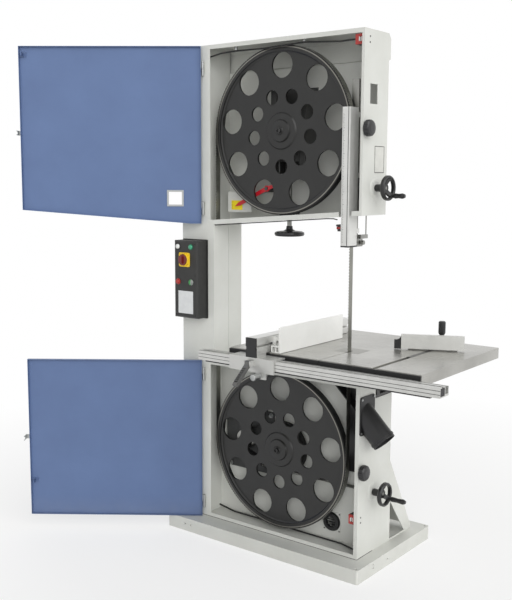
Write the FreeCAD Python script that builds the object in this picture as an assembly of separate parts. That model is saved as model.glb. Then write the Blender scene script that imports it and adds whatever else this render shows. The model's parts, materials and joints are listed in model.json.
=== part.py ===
# Wheel-type band saw, 700 mm class, built as separate working pieces.
# Drawn with X to the operator's right, Y from the door side to the back, Z up, in millimetres.
# While drawing, X = 0 is the wheel axle line, Y = 0 the front face of the frame and Z = 0 the floor;
# every piece is moved on export so that the origin is the centre of the four floor anchors.
import FreeCAD, Part
import math
import os

V = FreeCAD.Vector
DIRS = {"x": V(1, 0, 0), "y": V(0, 1, 0), "z": V(0, 0, 1)}
os.makedirs("parts", exist_ok=True)

# ---------------------------------------------------------------- driving sizes
FIT = 0.05             # radial running clearance of a shaft in its bore
SLIP = 0.3             # gap beside a sliding or unmachined face

WHEEL_R = 350.0        # inside of the blade loop
WHEEL_RISE = 1378.0    # between the wheel axles
AXLE_R = 25.0
BLADE_T = 1.0
BLADE_W = 30.0
BLADE_FRONT = 33.0     # set-back of the blade's teeth behind the frame's front
TYRE_T = 5.0
RIM_W = 34.0
RIM_T = 17.0
WEB_T = 10.0
HUB_R = 60.0
LARGE_HOLE_R, LARGE_IN = 53.0, 79.0      # large holes, and their centres in from the wheel edge
SMALL_HOLE_R, SMALL_IN = 31.0, 202.0
HOLES = 9

BASE_H = 60.0
BASE_T = 4.0
BASE_FRONT = 90.0      # base in front of the frame
BASE_BACK = 530.0
BASE_LEFT, BASE_RIGHT = 20.0, 59.0   # base beyond the cabinet's sides
ANCHOR_IN = 16.0       # anchor hole centre in from each edge of the base
ANCHOR_R = 6.0

WALL = 4.0
LIP = 18.0             # frame left round the door openings
LEFT_ROOM = 170.0      # wheel edge to the frame's left face
LOWER_ROOM = 83.0      # wheel edge to the cabinet's right face
UPPER_ROOM = 75.0      # wheel edge to the upper box's right face
TOP_ROOM = 26.0        # wheel edge to the top of the upper box
COLUMN_LAP = 16.0      # column's right face inside the wheel edge
LOWER_DEPTH = 126.0
LOWER_HEAD = 11.0      # cabinet top above the lower wheel
LEG_BACK = 262.0
LEG_DROP = 80.0        # rear leg below the cabinet top
LEG_W = 233.0          # right rear leg
BUTTRESS_D, BUTTRESS_H = 193.0, 365.0
COLUMN_BACK = 196.0
UPPER_GAP = 50.0       # upper box bottom below the upper wheel
UPPER_SLOPE = 0.0763   # rise of that bottom towards the blade
UPPER_DEPTH = 188.0

DRIVE_R, MOTOR_R = 110.0, 42.0   # belt line radii
BELT_FRONT, BELT_W, BELT_T = 75.0, 22.0, 6.0
MOTOR_BODY_R = 90.0
PLATE_OUT = 47.0       # motor plate beyond the motor housing, on the axle's side
MOTOR_SIDE = 29.0 / 45.0    # share of the free room beside the motor that is on the column's side
BOLT_ROOM = 9.0        # motor plate's bolts beside the rear leg
MOTOR_BACK = 392.0
MOTOR_TRAVEL = 12.0
SCREW_Y, SCREW_DROP = 112.0, 24.0   # belt-tension screw, below the motor housing
SHAFT_R = 6.0          # guide handwheel shaft
SCREW_R = 7.0          # belt-tension screw
HANDWHEEL_R = 50.0
GRIP_PIN_R = 4.0

TABLE_RISE = 118.0     # table top above the cabinet top
TABLE_T = 45.0
TABLE_LEFT, TABLE_RIGHT = 447.0, 443.0   # from the blade line
TABLE_FRONT, TABLE_BACK = -172.0, 520.0
INSERT_W, INSERT_FRONT, INSERT_BACK = 110.0, 22.0, 122.0
INSERT_T = 6.0
SLOT_OUT, SLOT_W, SLOT_D = 238.0, 19.0, 10.0   # mitre slot to the right of the blade line
MITRE_Y = 300.0
MITRE_ANGLE = 25.0
MITRE_CLAMP = 82.0     # clamp handle behind the pivot
TRUNNION_R = 150.0
SEGMENT_BACK = (12.0, 96.0)     # half-moon segments behind the front of their cradle
SEGMENT_W = 24.0
TILT_MAX = 20.0        # table tilt, right side down

RAIL_LEFT, RAIL_RIGHT = 559.0, 555.0   # from the blade line
RAIL_FRONT, RAIL_D, RAIL_DROP, RAIL_H = -250.0, 68.0, 55.0, 38.0
RAIL_KEEL = 8.0        # strip under the rail
CARRIAGE_LEFT, CARRIAGE_W = 383.0, 225.0   # left side from the blade line
ARM_LEFT, ARM_W, ARM_H = 298.0, 52.0, 66.0
FENCE_OPEN, FENCE_H, FENCE_L = 190.0, 107.0, 469.0   # face to the blade line
LEVER_L = 114.0

POST_LEFT, POST_W = 22.0, 32.0   # left side from the blade line
POST_Y, POST_T = 72.0, 10.0
POST_DROP, POST_L = 440.0, 634.0   # post's foot below the upper axle
GUARD_W, GUARD_T = 37.0, 3.0
GUARD_DROP, GUARD_L = 30.0, 552.0  # guard's foot below the post's
MODULE = 1.5
PINION_TEETH = 12
PINION_DROP = 234.0
RACK_W = 16.0
ROLLER_R = 11.0

TENSION_Y = 110.0
TENSION_R = 10.0
CARRIAGE_D = 40.0      # front to back of the upper wheel's sliding block
TONGUE = 12.0

HINGE_OUT, HINGE_Y = 38.0, -10.0   # hinge pin beyond the wheel edge
HINGE_PIN_R = 3.0
DOOR_D = 17.0
DOOR_T = 2.0
DOOR_OPEN = 143.0
LOCK_Y = 14.0
LOCK_R = 6.0
WINDOW_IN, WINDOW_UP, WINDOW_W, WINDOW_H = 116.0, 114.0, 64.0, 62.0

PANEL_IN, PANEL_W = 8.0, 140.0
PANEL_UP, PANEL_H = 195.0, 348.0
PANEL_D = 70.0
DIAL_R = 8.0
BUTTON_R = 10.0

PORT_Y, PORT_DROP, PORT_R = 58.0, 135.0, 50.0
GLAND_R, GLAND_BORE, GLAND_UP = 12.0, 6.0, 60.0

# ---------------------------------------------------------------- sizes that follow
LOWER_Z = BASE_H + LIP + 10.0 + WHEEL_R
UPPER_Z = LOWER_Z + WHEEL_RISE
BLADE_Y = (BLADE_FRONT, BLADE_FRONT + BLADE_W)
RIM_Y = (BLADE_FRONT + 1.0, BLADE_FRONT + 1.0 + RIM_W)
WEB_Y = (RIM_Y[0] + 12.0, RIM_Y[0] + 12.0 + WEB_T)
LEFT = -WHEEL_R - LEFT_ROOM
COLUMN_R = -WHEEL_R + COLUMN_LAP
LOWER_R = WHEEL_R + LOWER_ROOM
UPPER_R = WHEEL_R + UPPER_ROOM
OPEN_L = -WHEEL_R - 6.0
HINGE_X = -WHEEL_R - HINGE_OUT
DOOR_LEFT = HINGE_X + 8.0
DIVIDER = HINGE_X - 9.0
LARGE_PITCH_R, SMALL_PITCH_R = WHEEL_R - LARGE_IN, WHEEL_R - SMALL_IN
FLANGE_R = AXLE_R + 37.0
MOTOR_ROOM = -FLANGE_R - COLUMN_R - 2 * MOTOR_BODY_R - PLATE_OUT
MOTOR_X = COLUMN_R + MOTOR_ROOM * MOTOR_SIDE + MOTOR_BODY_R
LOWER_TOP = LOWER_Z + WHEEL_R + LOWER_HEAD
LEG_TOP = LOWER_TOP - LEG_DROP
LEG_LEFT = LOWER_R - LEG_W
UPPER_BOTTOM = UPPER_Z - WHEEL_R - UPPER_GAP
UPPER_TOP = UPPER_Z + WHEEL_R + TOP_ROOM
BASE_X = (LEFT - BASE_LEFT, LOWER_R + BASE_RIGHT)
BASE_Y = (-BASE_FRONT, BASE_BACK)
BACK_FACE = LOWER_DEPTH - WALL       # front of the cabinet's back wall
BELT_Y = (BELT_FRONT, BELT_FRONT + BELT_W)
SCREW_Z = LOWER_Z - MOTOR_BODY_R - SCREW_DROP
TABLE_Z = LOWER_TOP + TABLE_RISE
TABLE_X = (WHEEL_R - TABLE_LEFT, WHEEL_R + TABLE_RIGHT)
TABLE_Y = (TABLE_FRONT, TABLE_BACK)
TABLE_BOTTOM = TABLE_Z - TABLE_T
SLOT_X = WHEEL_R + SLOT_OUT
RAIL_X = (WHEEL_R - RAIL_LEFT, WHEEL_R + RAIL_RIGHT)
RAIL_Y = (RAIL_FRONT, RAIL_FRONT + RAIL_D)
RAIL_BOTTOM = TABLE_Z - RAIL_DROP
RAIL_Z = (RAIL_BOTTOM, RAIL_BOTTOM + RAIL_H)
CARRIAGE_X, ARM_X, FENCE_FACE = WHEEL_R - CARRIAGE_LEFT, WHEEL_R - ARM_LEFT, WHEEL_R - FENCE_OPEN
ARM_BOTTOM = TABLE_Z + 2.0
POST_X = WHEEL_R - POST_LEFT
POST_BOTTOM = UPPER_Z - POST_DROP
POST_TOP = POST_BOTTOM + POST_L
GUARD_BOTTOM = POST_BOTTOM - GUARD_DROP
GUARD_TOP = GUARD_BOTTOM + GUARD_L
PINION_Z = UPPER_Z - PINION_DROP
POST_BACK = POST_Y + POST_T
RACK_X = (POST_X + (POST_W - RACK_W) / 2.0, POST_X + (POST_W + RACK_W) / 2.0)
PITCH_R = MODULE * PINION_TEETH / 2.0
RACK_ROOT = POST_BACK + 2.0
RACK_PITCH = RACK_ROOT + 1.25 * MODULE
PINION_Y = RACK_PITCH + PITCH_R
GUARD_X = (POST_X, POST_X + GUARD_W)
BLOCK_Y = (TENSION_Y - CARRIAGE_D / 2.0, TENSION_Y + CARRIAGE_D / 2.0)
DOOR_Y = (-1.0 - DOOR_D, -1.0)
LOCK_Z = {"upper": UPPER_Z - 3.0, "lower": LOWER_Z - 6.0}
KEY_Z = {"upper": UPPER_TOP - 40.0, "lower": LOWER_Z - 214.0}
WALL_X = {"upper": UPPER_R, "lower": LOWER_R}
DOOR_RIGHT = {"upper": UPPER_R - 7.0, "lower": LOWER_R - 15.0}
KEY_X = {kind: DOOR_RIGHT[kind] - 18.0 for kind in DOOR_RIGHT}
CRADLE_FRONT = LOWER_DEPTH + 4.0
SEGMENT_Y = tuple(CRADLE_FRONT + back for back in SEGMENT_BACK)
VENT = (LOWER_R - 199, BASE_H + 83)
BEARING_TOP = UPPER_BOTTOM + 66
PIVOT = (-100.0, UPPER_Z - 241)
ROD_X, ROD_Y = POST_X + POST_W + 10, 128.0
ROLLER_X = (WHEEL_R - 5, WHEEL_R + 6)
ROLLER_Y = BLADE_Y[1] + SLIP + ROLLER_R
ROLLER_Z = (GUARD_BOTTOM + POST_BOTTOM) / 2.0
INSERT_X = (WHEEL_R - INSERT_W / 2, WHEEL_R + INSERT_W / 2)
LEVER_Y, LEVER_Z = RAIL_FRONT - 24, RAIL_BOTTOM + 22
LEVER_X = ARM_X + ARM_W / 2
KNOB_X, KNOB_Z = CARRIAGE_X + 160, RAIL_BOTTOM - 24
MITRE = (SLOT_X + SLOT_W / 2, MITRE_Y)
WINDOW_X, WINDOW_Z = DOOR_LEFT + WINDOW_IN, UPPER_BOTTOM + WINDOW_UP
PANEL_X, PANEL_Z = LEFT + PANEL_IN, LOWER_TOP + PANEL_UP
PORT_Z = LOWER_TOP - PORT_DROP
PANEL_Y = -PANEL_D
DIAL = (PANEL_X + 65.0, PANEL_Z + 263.0)
STOP = (PANEL_X + 26.0, PANEL_Z + 163.0)
START = (PANEL_X + 103.0, PANEL_Z + 163.0)
LAMPS = ((STOP[0], PANEL_Z + 321.0), (START[0], PANEL_Z + 321.0))
ORIGIN = V((BASE_X[0] + BASE_X[1]) / 2.0, (BASE_Y[0] + BASE_Y[1]) / 2.0, 0)


# ---------------------------------------------------------------- drawing helpers
def save(node, *shapes):
    solids = [s for shape in shapes for s in shape.Solids]
    out = solids[0].copy() if len(solids) == 1 else Part.makeCompound(solids)
    out.translate(ORIGIN * -1)
    out.exportStep("parts/%s.step" % node)
    box_ = out.BoundBox
    print("%-22s %d %s" % (node, len(solids), "ok" if all(s.isValid() for s in solids) else "INVALID"),
          "%.0f..%.0f %.0f..%.0f %.0f..%.0f" % (box_.XMin, box_.XMax, box_.YMin, box_.YMax, box_.ZMin,
                                                box_.ZMax))


def box(x0, x1, y0, y1, z0, z1):
    return Part.makeBox(x1 - x0, y1 - y0, z1 - z0, V(x0, y0, z0))


def point(axis, along, u, v):
    return {"x": V(along, u, v), "y": V(u, along, v), "z": V(u, v, along)}[axis]


def rod(axis, r, start, end, u, v):
    return Part.makeCylinder(r, end - start, point(axis, start, u, v), DIRS[axis])


def ring(axis, r_out, r_in, start, end, u, v):
    return rod(axis, r_out, start, end, u, v).cut(rod(axis, r_in, start - 1, end + 1, u, v))


def cone(axis, r0, r1, start, end, u, v):
    return Part.makeCone(r0, r1, end - start, point(axis, start, u, v), DIRS[axis])


def prism(axis, pts, start, end):
    wire = Part.makePolygon([point(axis, start, *p) for p in pts + pts[:1]])
    return Part.Face(wire).extrude(DIRS[axis] * (end - start))


def lathe(axis, profile, u, v):
    """Closed profile of (radius, position along the axis) pairs, turned about the axis."""
    side = V(0, 1, 0) if axis == "x" else V(1, 0, 0)
    pts = [point(axis, a, u, v) + side * r for r, a in profile]
    return Part.Face(Part.makePolygon(pts + pts[:1])).revolve(point(axis, 0, u, v), DIRS[axis], 360)


def fuse(*shapes):
    return shapes[0].multiFuse(list(shapes[1:])).removeSplitter()


def cut(body, *tools):
    return body.cut(list(tools))


def around(shape, axis, centre, angles):
    copies = [shape.copy() for _ in angles]
    for s, a in zip(copies, angles):
        s.rotate(centre, DIRS[axis], a)
    return copies


def polar(u, v, r, degrees):
    a = math.radians(degrees)
    return u + r * math.cos(a), v + r * math.sin(a)


def edges_along(shape, axis):
    """Straight edges that run along the axis."""
    found = []
    for e in shape.Edges:
        d = e.Vertexes[-1].Point - e.Vertexes[0].Point
        if d.Length > 1 and d.cross(DIRS[axis]).Length < 0.01:
            found.append(e)
    return found


def rounded_box(axis, r, *limits):
    b = box(*limits)
    return b.makeFillet(r, edges_along(b, axis))


def cable(points, r):
    """Round cable through the points, with ball corners."""
    pts = [V(*p) for p in points]
    bits = [Part.makeCylinder(r, (b - a).Length, a, b - a) for a, b in zip(pts, pts[1:])]
    return fuse(*(bits + [Part.makeSphere(r, p) for p in pts[1:-1]]))


def loop_solid(x1, r1, x2, r2, z, y0, y1):
    """Outline of a belt round two circles at one height, filled."""
    c = (r1 - r2) / (x2 - x1)
    s = math.sqrt(1 - c * c)
    quad = [(x1 + r1 * c, z + r1 * s), (x2 + r2 * c, z + r2 * s),
            (x2 + r2 * c, z - r2 * s), (x1 + r1 * c, z - r1 * s)]
    return fuse(rod("y", r1, y0, y1, x1, z), rod("y", r2, y0, y1, x2, z), prism("y", quad, y0, y1))


def hexagon(axis, r, start, end, u, v):
    return prism(axis, [polar(u, v, r, 60 * k) for k in range(6)], start, end)


def underside(x, lift=0.0):
    """Height of the upper box's sloping bottom at x."""
    return UPPER_BOTTOM + max(0.0, x - COLUMN_R) * UPPER_SLOPE + lift


# ---------------------------------------------------------------- frame
def anchor_points():
    return [(x, y) for x in (BASE_X[0] + ANCHOR_IN, BASE_X[1] - ANCHOR_IN)
            for y in (BASE_Y[0] + ANCHOR_IN, BASE_Y[1] - ANCHOR_IN)]


def base_plinth():
    (x0, x1), (y0, y1), t = BASE_X, BASE_Y, BASE_T
    skin = cut(rounded_box("z", 2 * t, x0, x1, y0, y1, 0, BASE_H),
               box(x0 + t, x1 - t, y0 + t, y1 - t, -1, BASE_H - t))
    h = BASE_H - 1
    blocks = [box(x, x + ANCHOR_IN * 2 - t, y, y + ANCHOR_IN * 2 - t, 0, h)
              for x in (x0 + t - 1, x1 - ANCHOR_IN * 2 + 1) for y in (y0 + t - 1, y1 - ANCHOR_IN * 2 + 1)]
    ribs = [box(x - t, x + t, y0 + 1, y1 - 1, 0, h) for x in (LEFT + 60, 60.0, LOWER_R - 100)]
    ribs += [box(x0 + 1, x1 - 1, y - t, y + t, 12, h) for y in (90.0, LEG_BACK)]
    holes = [rod("z", ANCHOR_R, -1, BASE_H + 1, px, py) for px, py in anchor_points()]
    holes += [rod("y", 4, y0 - 1, y0 + t + 1, x, BASE_H - 27) for x in (LEFT + 83, LEFT + 119)]
    holes += [rod("x", 4, x1 - t - 1, x1 + 1, y, BASE_H - drop)
              for y, drop in ((36, 15), (36, 30), (154, 30))]
    save("base_plinth", cut(fuse(skin, *(blocks + ribs)), *holes))


def motor_bolts():
    left, right = COLUMN_R + BOLT_ROOM, MOTOR_X + MOTOR_BODY_R + PLATE_OUT - 14
    return [(x, LOWER_Z + dz) for x in (left, right) for dz in (-MOTOR_BODY_R - 48, MOTOR_BODY_R + 34)]


def lower_cabinet():
    """Welded wheel cabinet: front frame, divider, back wall and the dust chute."""
    t, r, d, top = WALL, LOWER_R, LOWER_DEPTH, LOWER_TOP
    shell = cut(box(LEFT, r, 0, d, BASE_H, top), box(LEFT + t, r - t, t, d - t, BASE_H + t, top - t))
    divider = box(DIVIDER, DIVIDER + t, t - 1, d - t + 1, BASE_H + t - 1, top - t + 1)
    reach = r - t - 236
    chute = prism("y", [(233, top - t + 1), (239, top - t + 1), (r - t + 1, top - reach + 3),
                        (r - t + 1, top - reach - 3)], 72, d - t + 1)
    boss = cone("x", 44, 30, r - 1, r + 6, SCREW_Y, SCREW_Z).common(box(r - 1, r + 7, 0, d, BASE_H, top))
    inside = -WHEEL_R
    slack = MOTOR_TRAVEL + 4
    holes = [box(OPEN_L, r - LIP + 1, -1, t + 0.5, BASE_H + LIP, top - LIP),
             box(inside - 26, inside + 10, 16, 84, top - t - 1, top + 1),
             box(LEFT + 20, DIVIDER - 8, 16, 90, top - t - 1, top + 1),
             box(WHEEL_R - 22, WHEEL_R + 24, 14, 88, top - t - 1, top + 1),
             box(MOTOR_X - MOTOR_BODY_R - 4, MOTOR_X + MOTOR_BODY_R + slack, d - t - 1, d + 1,
                 LOWER_Z - MOTOR_BODY_R - 4, LOWER_Z + MOTOR_BODY_R + 4),
             rod("y", AXLE_R + 1, d - t - 1, d + 1, 0, LOWER_Z),
             rod("y", 24, d - t - 1, d + 1, *VENT),
             rod("x", PORT_R - 4, r - t - 1, r + 1, PORT_Y, PORT_Z),
             rod("x", SCREW_R + FIT, r - t - 1, r + 7, SCREW_Y, SCREW_Z),
             rod("x", LOCK_R + FIT, r - t - 1, r + 1, LOCK_Y, LOCK_Z["lower"])]
    holes += [rod("y", 5, d - t - 1, d + 1, x, z) for x, z in motor_bolts()]
    holes += [rod("x", 2.5, r - t - 1, r + 1, 26, KEY_Z["lower"] + dz) for dz in (-11, 11)]
    save("lower_cabinet", cut(fuse(shell, divider, chute, boss), *holes))


def rear_legs():
    """Two open-bottomed legs behind the cabinet, and the buttress with its slanted plate."""
    t, r, d, top = WALL, LOWER_R, LOWER_DEPTH, LOWER_TOP
    right_leg = cut(box(LEG_LEFT, r, d, LEG_BACK, BASE_H, LEG_TOP),
                    box(LEG_LEFT + t, r - t, d - 1, LEG_BACK - t, BASE_H - 1, LEG_TOP - t))
    left_leg = cut(box(LEFT, COLUMN_R, d, COLUMN_BACK, BASE_H, top),
                   box(LEFT + t, COLUMN_R - t, d - 1, COLUMN_BACK - t, BASE_H - 1, top - t))
    toe, knee = LEG_BACK + BUTTRESS_D, BASE_H + BUTTRESS_H
    outline = [(LEG_BACK - 1, knee), (toe, BASE_H + 24), (toe, BASE_H), (LEG_BACK - 1, BASE_H)]
    window = [(LEG_BACK + 8, knee - 187), (toe - 53, BASE_H + 6), (LEG_BACK + 8, BASE_H + 6)]
    gussets = [cut(prism("x", outline, x, x + t), prism("x", window, x - 1, x + t + 1))
               for x in (LEG_LEFT, r - t)]
    slope = prism("x", outline[:2] + [(toe, BASE_H + 16), (LEG_BACK - 1, knee - 8)], LEG_LEFT + t - 1,
                  r - t + 1)
    save("rear_legs", fuse(right_leg, *gussets, slope), left_leg)


def column():
    """Closed box column with a sheet-metal channel in front for the returning blade."""
    z0, z1, w = LOWER_TOP, UPPER_BOTTOM, 5.0
    tube = cut(box(LEFT, COLUMN_R, 104, COLUMN_BACK, z0, z1),
               box(LEFT + w, COLUMN_R - w, 104 + w, COLUMN_BACK - w, z0 - 1, z1 - w))
    cover = cut(box(LEFT, COLUMN_R, 0, 102, z0, z1), box(LEFT + 3, COLUMN_R - 3, 3, 103, z0 - 1, z1 + 1))
    joint = box(LEFT + 2, COLUMN_R - 2, 99, 105, z0, z1)
    gland = rod("y", GLAND_R + FIT, COLUMN_BACK - w - 1, COLUMN_BACK + 1, (LEFT + COLUMN_R) / 2,
                z0 + GLAND_UP)
    save("column", cut(fuse(tube, cover, joint), rod("y", 8, -1, 4, PANEL_X + 72, PANEL_Z + 40), gland,
                       rod("z", 12, z1 - w - 1, z1 + 1, LEFT + 50, 150)))


def upper_outline(inset):
    right = UPPER_R - inset
    return [(LEFT + inset, UPPER_BOTTOM + inset), (COLUMN_R, UPPER_BOTTOM + inset),
            (right, underside(right, inset)), (right, UPPER_TOP - inset), (LEFT + inset, UPPER_TOP - inset)]


def upper_side(inset):
    back, cap, top = UPPER_DEPTH - inset, UPPER_DEPTH + 14 - inset, UPPER_TOP - inset
    return [(inset, UPPER_BOTTOM), (back, UPPER_BOTTOM), (back, UPPER_TOP - 107 + inset),
            (cap, UPPER_TOP - 100 + inset), (cap, UPPER_TOP - 20), (cap - 16, top), (inset, top)]


def upper_box():
    t = WALL
    outer = prism("y", upper_outline(0), 0, 300).common(prism("x", upper_side(0), LEFT, UPPER_R))
    inner = prism("y", upper_outline(t), t, 300).common(prism("x", upper_side(t), LEFT, UPPER_R))
    divider = box(DIVIDER, DIVIDER + t, t - 1, UPPER_DEPTH - t + 1, UPPER_BOTTOM + t - 1, UPPER_TOP - t + 1)
    boss = cone("x", 42, 30, UPPER_R - 1, UPPER_R + 6, PINION_Y, PINION_Z)
    body = fuse(cut(outer, inner), divider, boss)
    right = UPPER_R - LIP + 6
    mouth = [(OPEN_L, underside(OPEN_L, 20)), (COLUMN_R, underside(COLUMN_R, 20)),
             (right, underside(right, 20)), (right, UPPER_TOP - LIP), (OPEN_L, UPPER_TOP - LIP)]
    inside = -WHEEL_R
    low = UPPER_BOTTOM - 5
    holes = [prism("y", mouth, -1, t + 0.5),
             box(POST_X - 10, GUARD_X[1] + 14, -1, ROD_Y + 10, low, underside(GUARD_X[1] + 14, 26)),
             box(inside - 26, inside + 10, 16, 84, low, UPPER_BOTTOM + t + 1),
             box(LEFT + 20, DIVIDER - 8, 16, 90, low, UPPER_BOTTOM + t + 1),
             rod("z", TENSION_R + 3, low, UPPER_BOTTOM + 60, 0, TENSION_Y),
             box(UPPER_R - t - 1, UPPER_R + 1, 48, 107, UPPER_Z + 93, UPPER_Z + 170),
             rod("x", SHAFT_R + FIT, UPPER_R - t - 1, UPPER_R + 7, PINION_Y, PINION_Z),
             rod("x", LOCK_R + FIT, UPPER_R - t - 1, UPPER_R + 1, LOCK_Y, LOCK_Z["upper"])]
    holes += [rod("x", 2.5, UPPER_R - t - 1, UPPER_R + 1, 40, KEY_Z["upper"] + dz) for dz in (-11, 11)]
    save("upper_box", cut(body, *holes))


def lower_axle():
    """Stub axle with its welded flange and four screws on the cabinet's back wall."""
    stub = rod("y", AXLE_R, RIM_Y[0] + 8, BACK_FACE, 0, LOWER_Z)
    flange = rod("y", FLANGE_R, BACK_FACE - 16, BACK_FACE, 0, LOWER_Z)
    heads = [hexagon("y", 8, BACK_FACE - 20, BACK_FACE - 15, *polar(0, LOWER_Z, AXLE_R + 24, a))
             for a in (45, 135, 225, 315)]
    save("lower_axle", fuse(stub, flange, *heads))


# ---------------------------------------------------------------- wheels and drive
def wheel_body(z, hub_back):
    """Cast disc wheel: rim, web with two rings of round holes, hub and front cap."""
    ro = WHEEL_R - SLIP - TYRE_T
    ri = ro - RIM_T
    (y0, y1), (w0, w1) = RIM_Y, WEB_Y
    bore = AXLE_R + FIT
    profile = [(0, y0 - 6), (16, y0 - 6), (18, y0 - 3), (26, y0 - 3), (44, y0 - 1), (48, w0 - 6),
               (73, w0 - 6), (78, w0), (ri - 6, w0), (ri, w0 - 5), (ri, y0), (ro, y0), (ro, y1), (ri, y1),
               (ri, w1 + 5), (ri - 6, w1), (HUB_R + 16, w1), (HUB_R, w1 + 9), (HUB_R, hub_back),
               (bore, hub_back), (bore, y0 + 7), (0, y0 + 7)]
    holes = []
    for r, pitch, first in ((LARGE_HOLE_R, LARGE_PITCH_R, 90.0), (SMALL_HOLE_R, SMALL_PITCH_R, 70.0)):
        holes += [rod("y", r, w0 - 8, w1 + 12, *polar(0, z, pitch, first + 360.0 / HOLES * k))
                  for k in range(HOLES)]
    return cut(lathe("y", profile, 0, z), *holes)


def tyre(z):
    ro = WHEEL_R - SLIP
    return ring("y", ro, ro - TYRE_T, RIM_Y[0] + 1.5, RIM_Y[1], 0, z)


def vee_pulley(r, hub_r, bore, x, z):
    """Multi-vee pulley: shallow grooves between two small flanges."""
    y0, y1, ribs = BELT_Y[0] - 3, BELT_Y[1] + 3, 5
    land = r - SLIP
    profile = [(bore, y0), (r + 2, y0), (r + 2, y0 + 2), (land, y0 + 2.5)]
    pitch = (BELT_W + 1.0) / ribs
    for k in range(ribs):
        a = y0 + 2.5 + k * pitch
        profile += [(land - 3, a + pitch / 2), (land, a + pitch)]
    profile += [(r + 2, y1 - 2), (r + 2, y1), (hub_r, y1), (bore, y1)]
    return lathe("y", profile, x, z)


def wheels():
    save("upper_wheel", wheel_body(UPPER_Z, BLOCK_Y[0] - 3))
    save("upper_tyre", tyre(UPPER_Z))
    lower = fuse(wheel_body(LOWER_Z, BELT_Y[0] - 2), vee_pulley(DRIVE_R, HUB_R, AXLE_R + FIT, 0, LOWER_Z))
    save("lower_wheel", lower)
    save("lower_tyre", tyre(LOWER_Z))


def racetrack(r, y0, y1):
    return fuse(rod("y", r, y0, y1, 0, LOWER_Z), rod("y", r, y0, y1, 0, UPPER_Z),
                box(-r, r, y0, y1, LOWER_Z, UPPER_Z))


def blade():
    y0, y1 = BLADE_Y
    save("blade", cut(racetrack(WHEEL_R + BLADE_T, y0, y1), racetrack(WHEEL_R, y0 - 1, y1 + 1)))


def drive_belt():
    y0, y1 = BELT_Y
    outer = loop_solid(0, DRIVE_R + BELT_T, MOTOR_X, MOTOR_R + BELT_T, LOWER_Z, y0, y1)
    save("drive_belt", cut(outer, loop_solid(0, DRIVE_R, MOTOR_X, MOTOR_R, LOWER_Z, y0 - 1, y1 + 1)))


def motor():
    """Motor on its sliding plate, whose slots run on four shoulder bolts."""
    y1, back = BACK_FACE - SLIP, MOTOR_BACK
    y0, r, shaft = y1 - 10, MOTOR_BODY_R, 14 + FIT
    bolts = motor_bolts()
    lug_x = bolts[-1][0] - 4
    plate = box(bolts[0][0] - 24, bolts[-1][0] + 14, y0, y1, bolts[0][1] - 12, bolts[1][1] + 14)
    lug = box(lug_x - 22, lug_x, SCREW_Y - 9, y1, SCREW_Z - 12, SCREW_Z + 12)
    case = lathe("y", [(shaft, y1 - 1), (r, y1 - 1), (r, y1 + 12), (r - 10, y1 + 14), (r - 6, y1 + 20),
                       (r - 6, back - 62), (r - 2, back - 58), (r - 2, back - 8), (r - 20, back),
                       (shaft, back)], MOTOR_X, LOWER_Z)
    fins = [ring("y", r - 1, r - 10, y1 + 26 + 11 * k, y1 + 30 + 11 * k, MOTOR_X, LOWER_Z)
            for k in range(17)]
    terminals = box(MOTOR_X - 52, MOTOR_X + 52, 170, 270, LOWER_Z + r - 12, LOWER_Z + r + 32)
    holes = [rod("y", shaft, y0 - 1, back + 1, MOTOR_X, LOWER_Z),
             rod("x", SCREW_R + FIT, lug_x - 23, lug_x + 1, SCREW_Y, SCREW_Z),
             box(lug_x - 55, lug_x - 22, y0 - 1, y1 + 1, SCREW_Z - 9, SCREW_Z + 9),
             box(lug_x, lug_x + 30, y0 - 1, y1 + 1, SCREW_Z - 9, SCREW_Z + 9)]
    for x, z in bolts:
        a, b = x - MOTOR_TRAVEL - 0.5, x + 0.5
        holes += [box(a, b, y0 - 1, y1 + 1, z - 5.3, z + 5.3)]
        holes += [rod("y", 5.3, y0 - 1, y1 + 1, c, z) for c in (a, b)]
    save("motor", cut(fuse(plate, lug, case, terminals, *fins), *holes))


def motor_pulley():
    shaft = rod("y", 14, BELT_Y[0] - 8, MOTOR_BACK - 12, MOTOR_X, LOWER_Z)
    save("motor_pulley", fuse(vee_pulley(MOTOR_R, 16, 10, MOTOR_X, LOWER_Z), shaft))


def handwheel(x0, x_rim, y, z, bore, grip, x_end):
    """Dished handwheel on an X-axis shaft: hub, three sloping arms, thick rim and the grip's pin."""
    r, w = HANDWHEEL_R, 18.0
    rim = lathe("x", [(r - 11, x_rim + 4), (r - 8, x_rim), (r - 3, x_rim), (r, x_rim + 4),
                      (r, x_rim + w - 4), (r - 3, x_rim + w), (r - 8, x_rim + w),
                      (r - 11, x_rim + w - 4)], y, z)
    hub = lathe("x", [(0, x0), (13, x0), (15, x0 + 4), (15, x0 + 24), (20, x_rim - 4), (17, x_rim + 2),
                      (0, x_rim + 2)], y, z)
    arm = prism("y", [(x0 + 22, z), (x0 + 34, z), (x_rim + w - 4, z + r - 6), (x_rim + 3, z + r - 6)],
                y - 9, y + 9)
    pin = fuse(rod("x", GRIP_PIN_R, x_rim + 4, x_end + 1, *grip),
               rod("x", 7, x_end + 0.5, x_end + 3, *grip))
    turn = math.degrees(math.atan2(grip[1] - z, grip[0] - y)) - 90
    arms = around(arm, "x", V(0, y, z), (turn, turn + 120, turn + 240))
    return fuse(cut(fuse(rim, hub, *arms), rod("x", bore, x0 - 1, x_rim + 3, y, z)), pin)


def hand_grip(x0, x1, grip):
    """Revolving grip on its pin."""
    bore = GRIP_PIN_R + FIT
    return lathe("x", [(bore, x0), (8, x0), (10.5, x0 + 10), (9, (x0 + x1) / 2), (11, x1 - 8), (8.5, x1),
                       (bore, x1)], *grip)


def collar(x_wall, r, flange, y, z):
    """Shoulder that keeps a shaft from being pulled out through the side wall."""
    return ring("x", r + flange, r - 1, x_wall - WALL - 8, x_wall - WALL - 0.5, y, z)


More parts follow.
